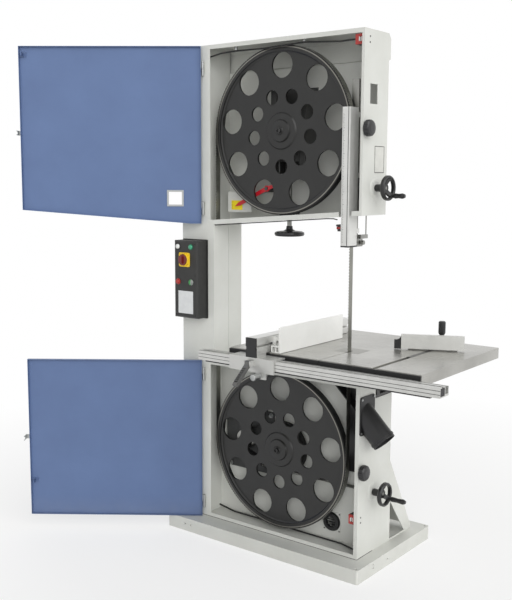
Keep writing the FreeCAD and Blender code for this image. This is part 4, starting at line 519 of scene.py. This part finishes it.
def vent_corners(tree):
    """The square plate of the small port shows grey outside the black round screen."""
    vent = at(VENT_X, 120, VENT_Z)
    plate = within(tree, vent - Vector((0.046, 0.003, 0.046)), vent + Vector((0.046, 0.004, 0.046)))
    place = add(tree, "ShaderNodeTexCoord").outputs["Object"]
    flat = add(tree, "ShaderNodeMapping", {"Vector": place, "Location": (-vent.x, 0.0, -vent.z),
                                           "Scale": (1.0, 0.0, 1.0)})
    reach = add(tree, "ShaderNodeVectorMath", {0: flat}, operation="LENGTH")
    outside = add(tree, "ShaderNodeMath", {0: reach.outputs["Value"], 1: 0.0425}, operation="GREATER_THAN")
    return joined(tree, "MULTIPLY", plate, outside)


def pointer_bracket(tree):
    """The bent sheet behind the tension scale is painted like the frame."""
    return within(tree, at(-345, 85, 1465), at(-185, 180, 1562))


def key_plates(tree):
    """The small plates that carry the doors' keys are painted with the doors."""
    plates = [within(tree, at(-FAR, -FAR, z - 11), at(FREE_EDGE, FAR, z + 11))
              for z in (upper_key, lower_key)]
    return joined(tree, "MAXIMUM", *plates)


def pale_half(tree):
    """The right part of the start button is a paler grey green."""
    low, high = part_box("start_button")
    return within(tree, ((low.x + high.x) / 2 + 0.002, low.y - 0.01, low.z - 0.01),
                  high + Vector((0.01, 0.01, 0.01)))


print("keys at heights", round(upper_key), "and", round(lower_key), "mm")

# %% [markdown]
# ## Nine split finishes
# Each line joins the finish of the whole piece, the second finish and the mask. They are named for both.

# %% Split finishes
arm_finish = split_finish("fence_bar_with_black_cap", ALUMINIUM, BLACK, front_cap)
trunnion_finish = split_finish("cast_segments_with_black_bar", IRON, BLACK, front_bar)
mitre_finish = split_finish("mitre_head_with_black_block", MITRE_ALUMINIUM, BLACK, end_block)
rail_finish = split_finish("anodised_rail_with_black_keel", RAIL_ALUMINIUM, BLACK, keel_and_groove_shade)
guard_finish = split_finish("anodised_guard_with_dark_foot_and_groove_shade", GUARD_ALUMINIUM, BLACK, guard_foot_and_groove_shade)
port_finish = split_finish("black_port_on_grey_plate", BLACK, GREY, vent_corners)
slide_finish = split_finish("cast_slide_with_painted_bracket", IRON, GREY, pointer_bracket)
fitting_finish = split_finish("zinc_fittings_with_painted_key_plate", ZINC, BLUE, key_plates)
start_finish = split_finish("start_button_two_shades", GREEN, PALE, pale_half)
print("nine split finishes ready")

# %% [markdown]
# ## Edges and shading
# Each CAD piece keeps its own mesh and gets modifiers on top: corners that lie in one place are welded,
# real edges stay sharp and the shading follows the large faces. The table's thick edge shows its rounding
# most, so there the triangles are joined into flat faces first and a bevel rounds the edges. Modelling the
# rounding by hand would do the same, but a modifier can be changed later.

# %% Dress a CAD node
def dress(node, material, edge_mm):
    piece = nodes[node]
    piece.data.materials.clear()
    piece.data.materials.append(material)
    for face in piece.data.polygons:
        face.use_smooth = True
    weld = piece.modifiers.new("weld", "WELD")
    weld.merge_threshold = 0.00002
    if edge_mm:
        flat = piece.modifiers.new("flat_faces", "DECIMATE")
        flat.decimate_type = "DISSOLVE"
        flat.angle_limit = math.radians(0.5)
        bevel = piece.modifiers.new("rounded_edges", "BEVEL")
        bevel.width = edge_mm * MM
        bevel.segments = 2
        bevel.limit_method = "ANGLE"
        bevel.angle_limit = math.radians(35)
        bevel.use_clamp_overlap = False
    else:
        split = piece.modifiers.new("sharp_edges", "EDGE_SPLIT")
        split.split_angle = math.radians(35)
    normals = piece.modifiers.new("even_shading", "WEIGHTED_NORMAL")
    normals.keep_sharp = True


print("ready to dress", len(nodes), "nodes")

# %% [markdown]
# ## Which finish each piece has
# The list goes from finish to pieces, because many pieces share one. A list from piece to finish would say
# the same at twice the length.

# %% Dress every node
ROUNDED_EDGE_MM = {"table": 1.5}
FINISHES = {
    grey_coat: "base_plinth rear_legs column upper_box",
    cabinet_coat: "lower_cabinet",
    blue_coat: "upper_door lower_door",
    upper_cast: "upper_wheel",
    lower_cast: "lower_wheel",
    tyre_rubber: "upper_tyre lower_tyre drive_belt",
    band_steel: "blade",
    dark_casting: "tension_carriage trunnion_cradle",
    slide_finish: "slide_guides",
    trunnion_finish: "table_trunnion",
    motor_enamel: "motor",
    ground_table: "table",
    anodised_x: "fence_carriage",
    insert_alloy: "table_insert",
    anodised_y: "fence_plate",
    rail_finish: "fence_rail",
    guard_finish: "blade_guard",
    mitre_finish: "mitre_head",
    arm_finish: "fence_arm",
    drawn_steel: "lower_axle tension_screw guide_post guide_head thrust_roller "
                 "guide_shaft lower_guides motor_pulley motor_screw",
    black_oxide: "mitre_bar",
    fitting_finish: "upper_door_fittings lower_door_fittings",
    zinc_plate: "hinge_leaves fence_knob frame_bolts",
    phenolic: "tension_handwheel guide_handwheel guide_handle motor_handwheel motor_handle "
              "upper_lock lower_lock mitre_handle",
    lever_casting: "fence_lever",
    abs_black: "cable_gland",
    port_finish: "dust_ports",
    housing_abs: "control_box",
    red_enamel: "tension_pointer",
    cable_pvc: "switch_cables",
    dial_plastic: "switch_dial",
    red_plastic: "safety_switches stop_button",
    start_finish: "start_button",
    white_plate: "panel_parts",
}
for material, group in FINISHES.items():
    for node in group.split():
        dress(node, material, ROUNDED_EDGE_MM.get(node, 0.0))
print(sum(len(group.split()) for group in FINISHES.values()), "nodes dressed of", len(nodes))

# %% [markdown]
# ## Drawing small pieces
# Most small pieces are either sawn or turned, so two functions draw them: a block with rounded edges, and a
# profile spun round a line as on a lathe. Blender's own primitives and modifiers could make them too, but
# in mesh code every size stands where it is used. `fit` gives the drawn shape its name and finish, and says
# which body it moves with and which plain CAD node it stands for.

# %% Drawing tools
def block(shape, low, high, edge_mm):
    """A box between two corners, its edges rounded unless edge_mm is 0."""
    low, high = Vector(low), Vector(high)
    corners = bmesh.ops.create_cube(shape, size=1.0)["verts"]
    for vertex in corners:
        vertex.co = Vector(low[k] if vertex.co[k] < 0 else high[k] for k in range(3))
    if edge_mm:
        edges = {edge for vertex in corners for edge in vertex.link_edges}
        bmesh.ops.bevel(shape, geom=list(edges), offset=edge_mm * MM, segments=2, affect="EDGES",
                        clamp_overlap=True)


def turned(shape, profile, centre, steps=40):
    """Turns (radius, y) points in millimetres about a front-to-back line through centre."""
    rings = []
    for radius, y in profile:
        if radius == 0:
            rings.append([shape.verts.new((centre[0], ZERO.y + y * MM, centre[2]))] * steps)
            continue
        rings.append([shape.verts.new((centre[0] + radius * MM * math.cos(turn), ZERO.y + y * MM,
                                       centre[2] + radius * MM * math.sin(turn)))
                      for turn in (2 * math.pi * k / steps for k in range(steps))])
    if profile[-1][0]:
        rings.append(rings[0])  # a hollow ring: its back joins its two ends
    else:
        shape.faces.new(rings[0])  # a solid piece: a flat seat closes it
    for inner, outer in zip(rings, rings[1:]):
        for k in range(steps):
            corners = [inner[k], inner[k - 1], outer[k - 1], outer[k]]
            unique = list(dict.fromkeys(corners))
            if len(unique) > 2:
                shape.faces.new(unique)


def fit(name, shape, material, body, slot, *stands_for):
    """Makes a drawn shape a piece that moves with body and stands for the CAD nodes named last."""
    mesh = bpy.data.meshes.new(name)
    bmesh.ops.recalc_face_normals(shape, faces=shape.faces)
    shape.to_mesh(mesh)
    shape.free()
    mesh.materials.append(material)
    piece = bpy.data.objects.new(name, mesh)
    bpy.context.scene.collection.objects.link(piece)
    for face in mesh.polygons:
        face.use_smooth = True
    split = piece.modifiers.new("sharp_edges", "EDGE_SPLIT")
    split.split_angle = math.radians(32)
    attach(piece, body)
    if stands_for:
        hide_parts(*stands_for)


print("drawing tools ready")

# %% [markdown]
# ## The dial's square plate
# The dial on the switch panel sits on a yellow square plate with a round hole. Cutting the hole with a
# boolean modifier could leave stray faces, so the plate is drawn as four loops of points, joined by bands.

# %% A square plate with a hole
dial, stop, start = Vector(joints["switch_dial_turn"]["pos_m"]), middle("stop_button"), middle("start_button")
face = (dial.y - ZERO.y) / MM
SQUARENESS = 10  # 2 would give a circle, and a very high number sharp corners


def square_plate(shape, centre, half, hole, y0, y1):
    """A square plate with soft corners and a round hole through it."""
    steps, loops = 64, []
    for radius_of in (lambda c, s: hole,
                      lambda c, s: half * (abs(c) ** SQUARENESS + abs(s) ** SQUARENESS) ** (-1 / SQUARENESS)):
        for y in (y0, y1):
            loops.append([shape.verts.new((centre[0] + radius_of(c, s) * c * MM, ZERO.y + y * MM,
                                           centre[2] + radius_of(c, s) * s * MM))
                          for c, s in ((math.cos(2 * math.pi * k / steps), math.sin(2 * math.pi * k / steps))
                                       for k in range(steps))])
    hole_front, hole_back, edge_front, edge_back = loops
    for a, b in ((hole_front, edge_front), (edge_front, edge_back), (edge_back, hole_back),
                 (hole_back, hole_front)):
        for k in range(steps):
            shape.faces.new([a[k - 1], a[k], b[k], b[k - 1]])


print("the panel's face is at", round(face, 1), "mm, the dial at height", round(dial.z / MM), "mm")

# %% [markdown]
# ## The rest of the switch panel
# Above the dial are two lamps with domed lenses. Below it are the two push buttons in their collars, and a
# bare plate in place of a printed one. Six small screws hold the panel. Nearly all of it is round, so it is
# turned from short profiles, which is quicker to change than a modelled piece.

# %% Lamps, collars, dial and screws
for name, centre, lens, ring in (("left_lamp", stop, white_lens, abs_black),
                                 ("right_lamp", start, green_lens, deep_green)):
    place = (centre.x, 0, dial.z + 58 * MM)
    shape = bmesh.new()
    turned(shape, [(11, face - 1.6), (11, face - 4), (9.6, face - 6.5), (6, face - 8.3), (0, face - 9)],
           place)
    fit(name + "_lens", shape, lens, "frame", "trim", "panel_parts")
    shape = bmesh.new()
    turned(shape, [(11.2, face - 2.2), (13, face - 2.2), (14.6, face - 1), (14.6, face)], place)
    fit(name + "_ring", shape, ring, "frame", "trim", "panel_parts")
for name, centre, finish in (("stop_collar", stop, red_plastic), ("start_collar", start, start_finish)):
    shape = bmesh.new()
    turned(shape, [(10.2, face), (10.2, face - 4), (11.6, face - 4), (13, face - 2.6), (13.4, face)],
           (centre.x, 0, centre.z))
    fit(name, shape, finish, "frame", "trim", "panel_parts")
shape = bmesh.new()
square_plate(shape, dial, 32, 8.1, face - 3, face)
fit("dial_plate", shape, yellow_plastic, "frame", "trim", "panel_parts")
shape = bmesh.new()
turned(shape, [(21.4, face - 3), (21.4, face - 11), (22.4, face - 12), (27.6, face - 12), (29, face - 10.6),
               (29, face - 3)], dial, 48)
fit("dial_boss", shape, yellow_plastic, "frame", "trim", "panel_parts")
shape = bmesh.new()
turned(shape, [(17.6, face - 12.6), (25, face - 12.6), (25.6, face - 13.4), (24.6, face - 16),
               (22, face - 16.6), (0, face - 16.6)], dial, 48)
fit("dial_face", shape, dial_plastic, "switch_dial", "red")
shape = bmesh.new()
block(shape, (dial.x - 38 * MM, dial.y - 1 * MM, dial.z - 243 * MM),
      (dial.x + 50 * MM, dial.y, dial.z - 141 * MM), 0.4)
fit("bare_label_plate", shape, white_plate, "frame", "trim", "panel_parts")
shape = bmesh.new()
for z in (-249, -71, 70):
    for x in (-498, -386):
        turned(shape, [(4.2, face), (4.2, face - 0.8), (3.6, face - 1.2), (1.6, face - 1.2),
                       (1.6, face - 0.4), (0, face - 0.4)], (ZERO.x + x * MM, 0, dial.z + z * MM), 20)
fit("panel_screws", shape, black_oxide, "frame", "steel")
print("panel dressed")

# %% [markdown]
# ## Scale and plates on the frame
# A yellow plate behind the red pointer shows the blade tension; it carries a plain row of strokes. On the
# right wall is a framed plate, left bare. A print can be drawn by a material or by thin blocks. Blocks are
# used here, because they keep their exact size and place without unwrapping anything.

# %% Plates
shape = bmesh.new()
block(shape, at(-302, 84.5, 1480), at(-240, 86, 1521), 0.3)
fit("tension_scale_plate", shape, scale_yellow, "frame", "trim", "panel_parts")
shape = bmesh.new()
for k in range(9):
    stroke = 9 if k % 4 == 0 else 5
    block(shape, at(-300, 84.2, 1483 + 4.3 * k), at(-300 + stroke, 84.6, 1484 + 4.3 * k), 0)
fit("tension_scale_strokes", shape, abs_black, "frame", "trim")
shape = bmesh.new()
block(shape, at(UPPER_WALL, 88, 1640), at(UPPER_WALL + 1, 166, 1749), 0.3)
fit("bare_rating_plate", shape, foil_plate, "frame", "trim", "panel_parts")
shape = bmesh.new()
for y0, y1, z0, z1 in ((90, 164, 1642, 1644.5), (90, 164, 1744.5, 1747), (90.1, 92.6, 1642.1, 1746.9),
                       (161.4, 163.9, 1642.1, 1746.9)):
    block(shape, at(UPPER_WALL + 0.8, y0, z0), at(UPPER_WALL + 1.3, y1, z1), 0)
fit("rating_plate_border", shape, abs_black, "frame", "trim")
print("plates fitted")

# %% [markdown]
# ## Safety switches
# Each door has an interlock in the corner of its opening: a black body with a red face, and a pale rim
# round the slot that the door's key enters. A third switch, black with a red cap, hangs under the upper box
# by the guide. The slot has to stay open for the key, so each body is built from blocks round it instead of
# being cut.

# %% Switches
KEY_X = 400.0  # both doors' keys enter here


def interlock(kind, x0, x1, z):
    """A switch between x0 and x1, its slot at height z."""
    y0, y1 = 8, 46
    body, cap, lining = bmesh.new(), bmesh.new(), bmesh.new()
    block(body, at(x0, 28.2, z - 20), at(x1, y1, z + 20), 1.5)
    for shape, front, back in ((cap, y0, y0 + 9), (body, y0 + 9.2, 28)):
        block(shape, at(x0, front, z - 20), at(KEY_X - 4.2, back, z + 20), 1.0)
        block(shape, at(KEY_X + 4.2, front, z - 20), at(x1, back, z + 20), 1.0)
        for a, b in ((-20, -10.2), (10.2, 20)):
            block(shape, at(KEY_X - 4.3, front + 0.1, z + a), at(KEY_X + 4.3, back - 0.1, z + b), 0.3)
    for a, b in ((-6.4, -3.9), (3.9, 6.4)):
        block(lining, at(KEY_X + a, y0 - 0.6, z - 8), at(KEY_X + b, 27.8, z + 8), 0.2)
    fit(kind + "_interlock_body", body, abs_black, "frame", "red", "safety_switches")
    fit(kind + "_interlock_face", cap, red_plastic, "frame", "red", "safety_switches")
    fit(kind + "_interlock_lining", lining, white_lens, "frame", "trim", "safety_switches")


interlock("upper", 377, 421, upper_key)
interlock("lower", 385, 429, lower_key)
body, cap = bmesh.new(), bmesh.new()
block(body, at(303, 17, 1408), at(321, 37, 1436), 1.2)
block(body, at(298.5, 14, 1428), at(325.5, 40, 1435.5), 0.6)
block(cap, at(300, 15.4, 1416), at(303.4, 34, 1427), 0.8)
block(cap, at(305, 15.2, 1418), at(319, 17.4, 1426), 0.8)
fit("guide_switch_body", body, abs_black, "frame", "red", "safety_switches")
fit("guide_switch_cap", cap, red_plastic, "frame", "red", "safety_switches")
print("switches fitted")

# %% [markdown]
# ## The blade
# The band runs round both wheels, one millimetre thick and 30 mm wide. Its front edge is cut into hooked
# teeth about 12 mm apart, each with a face that leans forward and a rounded gullet behind it. An array
# modifier along a curve could repeat one tooth, but its ends might not meet. Here the whole loop is drawn
# as one strip, tooth by tooth, with the pitch set so that a whole number of teeth goes round.

# %% Saw band with teeth
def round_loop(radius, along):
    """Place and outward direction at a distance along the loop of the band, in the plane of the wheels."""
    rise, arc = UPPER_Z - LOWER_Z, math.pi * radius
    along %= 2 * (rise + arc)
    if along < rise:
        return (radius, UPPER_Z - along), (1.0, 0.0)
    if along < rise + arc:
        turn = -(along - rise) / radius
        return (radius * math.cos(turn), LOWER_Z + radius * math.sin(turn)), (math.cos(turn), math.sin(turn))
    if along < 2 * rise + arc:
        return (-radius, LOWER_Z + along - rise - arc), (-1.0, 0.0)
    turn = math.pi - (along - 2 * rise - arc) / radius
    return (radius * math.cos(turn), UPPER_Z + radius * math.sin(turn)), (math.cos(turn), math.sin(turn))


band_front, band_back = (band_low.y - ZERO.y) / MM, (band_high.y - ZERO.y) / MM
length = 2 * (UPPER_Z - LOWER_Z + math.pi * WHEEL_R)
teeth = round(length / 12.0)
pitch = length / teeth
# each point of a tooth: the share of the pitch behind its tip, and how deep it is cut in mm
TOOTH = ((0.0, 0.0), (0.10, 2.2), (0.26, 4.2), (0.45, 4.6), (0.66, 3.4), (0.90, 0.6))
shape = bmesh.new()
sections = []
for k in range(teeth):
    for share, depth in TOOTH:
        (x, z), (dx, dz) = round_loop(WHEEL_R, (k + share) * pitch)
        edge, inside = band_front + depth, 0.05  # the strip stands 0.05 mm off the tyre
        sections.append([shape.verts.new(at(x + dx * out, y, z + dz * out))
                         for out, y in ((inside, edge), (BAND_THICK, edge), (BAND_THICK, band_back),
                                        (inside, band_back))])
for a, b in zip(sections, sections[1:] + sections[:1]):
    for k in range(4):
        shape.faces.new([a[k - 1], a[k], b[k], b[k - 1]])
fit("toothed_band", shape, band_steel, "frame", "blade", "blade")
print(teeth, "teeth,", round(pitch, 2), "mm apart")

# %% [markdown]
# ## Hub bolts
# Each wheel is held by a socket screw and washer in a raised ring. They are placed from the wheel's own box
# and ride on it, so they turn with it.

# %% Hub bolts
def hub_bolt(wheel, axis):
    front = (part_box(wheel + "_wheel")[0].y - ZERO.y) / MM
    washer, screw = bmesh.new(), bmesh.new()
    turned(washer, [(14.6, front), (14.6, front - 1.4), (14, front - 2), (8, front - 2)], axis, 48)
    turned(screw, [(11, front - 1.8), (11, front - 8), (10, front - 9.2), (6.4, front - 9.2),
                   (6.0, front - 4.5), (0, front - 4.5)], axis, 48)
    fit(wheel + "_hub_washer", washer, black_oxide, wheel + "_wheel", "steel")
    fit(wheel + "_hub_screw", screw, black_oxide, wheel + "_wheel", "steel")


hub_bolt("upper", upper_axis)
hub_bolt("lower", lower_axis)
print("hub bolts fitted")

# %% [markdown]
# ## Ruler and end plugs
# The guard carries a printed ruler, which shows the height under the guide. The open ends of the fence rail
# are closed with plastic plugs. Both are placed from the boxes of the pieces that carry them, so they fit
# whatever those measure.

# %% Ruler and plugs
low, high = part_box("blade_guard")
left, front, foot, top = low.x, low.y, low.z, high.z
shape = bmesh.new()
STEP = 5  # mm between strokes
for k in range(int((top - foot) / MM - 40) // STEP):
    stroke = 8.0 if k % 10 == 0 else (5.5 if k % 2 == 0 else 3.5)
    z = foot + (20 + STEP * k) * MM
    block(shape, (left + 4 * MM, front - 0.1 * MM, z),
          (left + (4 + stroke) * MM, front + 0.2 * MM, z + 1.2 * MM), 0)
fit("guard_ruler", shape, abs_black, "guide_post", "black")

rail_low, rail_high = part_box("fence_rail")
shape = bmesh.new()
for x0, x1 in ((rail_low.x + 1.5 * MM, rail_low.x + 6 * MM), (rail_high.x - 6 * MM, rail_high.x - 1.5 * MM)):
    block(shape, (x0, rail_low.y + 4.4 * MM, rail_low.z + 12.4 * MM),
          (x1, rail_low.y + 37.6 * MM, rail_high.z - 4.4 * MM), 0.6)
fit("rail_end_plugs", shape, abs_black, "table", "black")
print("ruler with", k + 1, "strokes and rail plugs fitted")

# %% [markdown]
# ## Screws and seams of the frame
# Small black screws hold the interlocks to the right wall and the port to the back wall. A dark joint shows
# where the cabinet stands on the plinth. `turned` works about a line from front to back, so screws in a
# side wall get a small function of their own.

# %% Screws and seams
def side_screw(shape, wall, y, z, radius):
    """A low round head on a wall that faces right."""
    steps, rings = 20, []
    for reach, out in ((radius, 0.0), (radius * 0.9, 0.9), (radius * 0.4, 1.1), (0.0, 0.6)):
        rings.append([shape.verts.new(at(wall + out, y + reach * math.cos(2 * math.pi * k / steps),
                                         z + reach * math.sin(2 * math.pi * k / steps)))
                      for k in range(steps if reach else 1)])
    shape.faces.new(rings[0])
    for outer, inner in zip(rings, rings[1:]):
        for k in range(steps):
            corners = [outer[k - 1], outer[k], inner[k % len(inner)], inner[(k - 1) % len(inner)]]
            shape.faces.new(list(dict.fromkeys(corners)))


shape = bmesh.new()
for wall, y, height in ((LOWER_WALL, 26, lower_key), (UPPER_WALL, 40, upper_key)):
    for rise in (-11, 11):
        side_screw(shape, wall, y, height + rise, 3.6)
for x in (-38, 38):
    for z in (-38, 38):
        turned(shape, [(3.4, 119.0), (3.2, 118.0), (1.4, 117.8), (0, 118.2)],
               at(VENT_X + x, 0, VENT_Z + z), 16)
fit("wall_screws", shape, black_oxide, "frame", "steel")
plinth_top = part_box("base_plinth")[1].z / MM
z0, z1 = plinth_top + 0.2, plinth_top + 1.9
shape = bmesh.new()
block(shape, at(-537, -0.5, z0), at(LOWER_WALL - 0.5, 0.6, z1), 0)
block(shape, at(LOWER_WALL - 1, 0.0, z0), at(LOWER_WALL + 0.5, 125, z1), 0)
fit("foot_joint", shape, tyre_rubber, "frame", "black")
print("screws and seams fitted")

# %% [markdown]
# ## Floor and backdrop
# A studio has a seamless pale floor that fades into the backdrop. The floor keeps the soft shadow under the
# machine. It glows only where the camera or a shiny face sees it, so it throws no light of its own. A
# second wall could close the view too, but the world does it from every side.

# %% Floor and backdrop
def seen_directly(tree):
    """A mask, 1 for rays that come from the camera, from a shiny face or through glass."""
    path = add(tree, "ShaderNodeLightPath")
    rays = ("Is Camera Ray", "Is Glossy Ray", "Is Transmission Ray")
    return joined(tree, "MAXIMUM", *(path.outputs[ray] for ray in rays))


def seamless_floor():
    mesh = bpy.data.meshes.new("floor")
    shape = bmesh.new()
    bmesh.ops.create_circle(shape, cap_ends=True, radius=14.0, segments=96)
    shape.to_mesh(mesh)
    shape.free()
    floor = bpy.data.objects.new("floor", mesh)
    bpy.context.scene.collection.objects.link(floor)
    floor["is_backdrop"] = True
    material, tree = blank_material("seamless_paper")
    place = add(tree, "ShaderNodeTexCoord").outputs["Object"]
    far = add(tree, "ShaderNodeVectorMath", {0: place}, operation="LENGTH")
    fade = add(tree, "ShaderNodeMapRange", {"Value": far, "From Min": 1.0, "From Max": 3.0,
                                           "To Min": 0.62, "To Max": 1.0})
    paper = add(tree, "ShaderNodeBsdfDiffuse", {"Color": linear("#F4F4F3")})
    glow = add(tree, "ShaderNodeEmission", {"Color": (1, 1, 1, 1), "Strength": 1.0})
    mask = add(tree, "ShaderNodeMath", {0: fade, 1: seen_directly(tree)}, operation="MULTIPLY")
    mixed = add(tree, "ShaderNodeMixShader", {"Fac": mask, 1: paper, 2: glow})
    add(tree, "ShaderNodeOutputMaterial", {"Surface": mixed})
    mesh.materials.append(material)


def white_backdrop(fill=0.33):
    """White to look at, while only the strength of fill lights the machine."""
    world = bpy.data.worlds.new("studio")
    bpy.context.scene.world = world
    world.use_nodes = True
    tree = world.node_tree
    tree.nodes.clear()
    strength = add(tree, "ShaderNodeMapRange", {"Value": seen_directly(tree), "To Min": fill, "To Max": 1.0})
    light = add(tree, "ShaderNodeBackground", {"Color": (1, 1, 1, 1), "Strength": strength})
    add(tree, "ShaderNodeOutputWorld", {"Surface": light})


seamless_floor()
white_backdrop()
print("floor and backdrop ready")

# %% [markdown]
# ## Three lamps
# Three very wide lamps light the machine from the right, the front and behind, and the world fills the
# shadows. Area lamps could do it too, but these far ones light every height of so tall a machine alike.
# Only the right one shows in reflections: low lamps mirrored in the table's metal top would burn it out.

# %% Lamps
def soft_light(name, around_deg, up_deg, spread_deg, strength, in_reflections=False):
    """A very wide far lamp; around_deg is measured from the front towards the right."""
    lamp = bpy.data.objects.new(name, bpy.data.lights.new(name, "SUN"))
    lamp.data.energy, lamp.data.angle = strength, math.radians(spread_deg)
    around, up = math.radians(around_deg), math.radians(up_deg)
    towards = Vector((math.sin(around) * math.cos(up), -math.cos(around) * math.cos(up), math.sin(up)))
    lamp.rotation_euler = towards.to_track_quat("Z", "Y").to_euler()
    lamp.location = towards * 6.0
    lamp.visible_glossy = in_reflections
    bpy.context.scene.collection.objects.link(lamp)


soft_light("right_soft_light", 80.0, 35.0, 60.0, 1.42, in_reflections=True)
soft_light("front_soft_light", 38.0, 15.0, 50.0, 1.65)
soft_light("back_soft_light", 215.0, 12.0, 60.0, 1.3)
bpy.context.scene.view_settings.view_transform = "Standard"
print("three lamps ready")

# %% [markdown]
# ## The size
# The size of the dressed machine's box is written out, for comparison with the size of its CAD model's box
# printed when the model was loaded.

# %% Sizes and last line
low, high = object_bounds()
print("visual box", tuple(round(b - a, 3) for a, b in zip(low, high)))
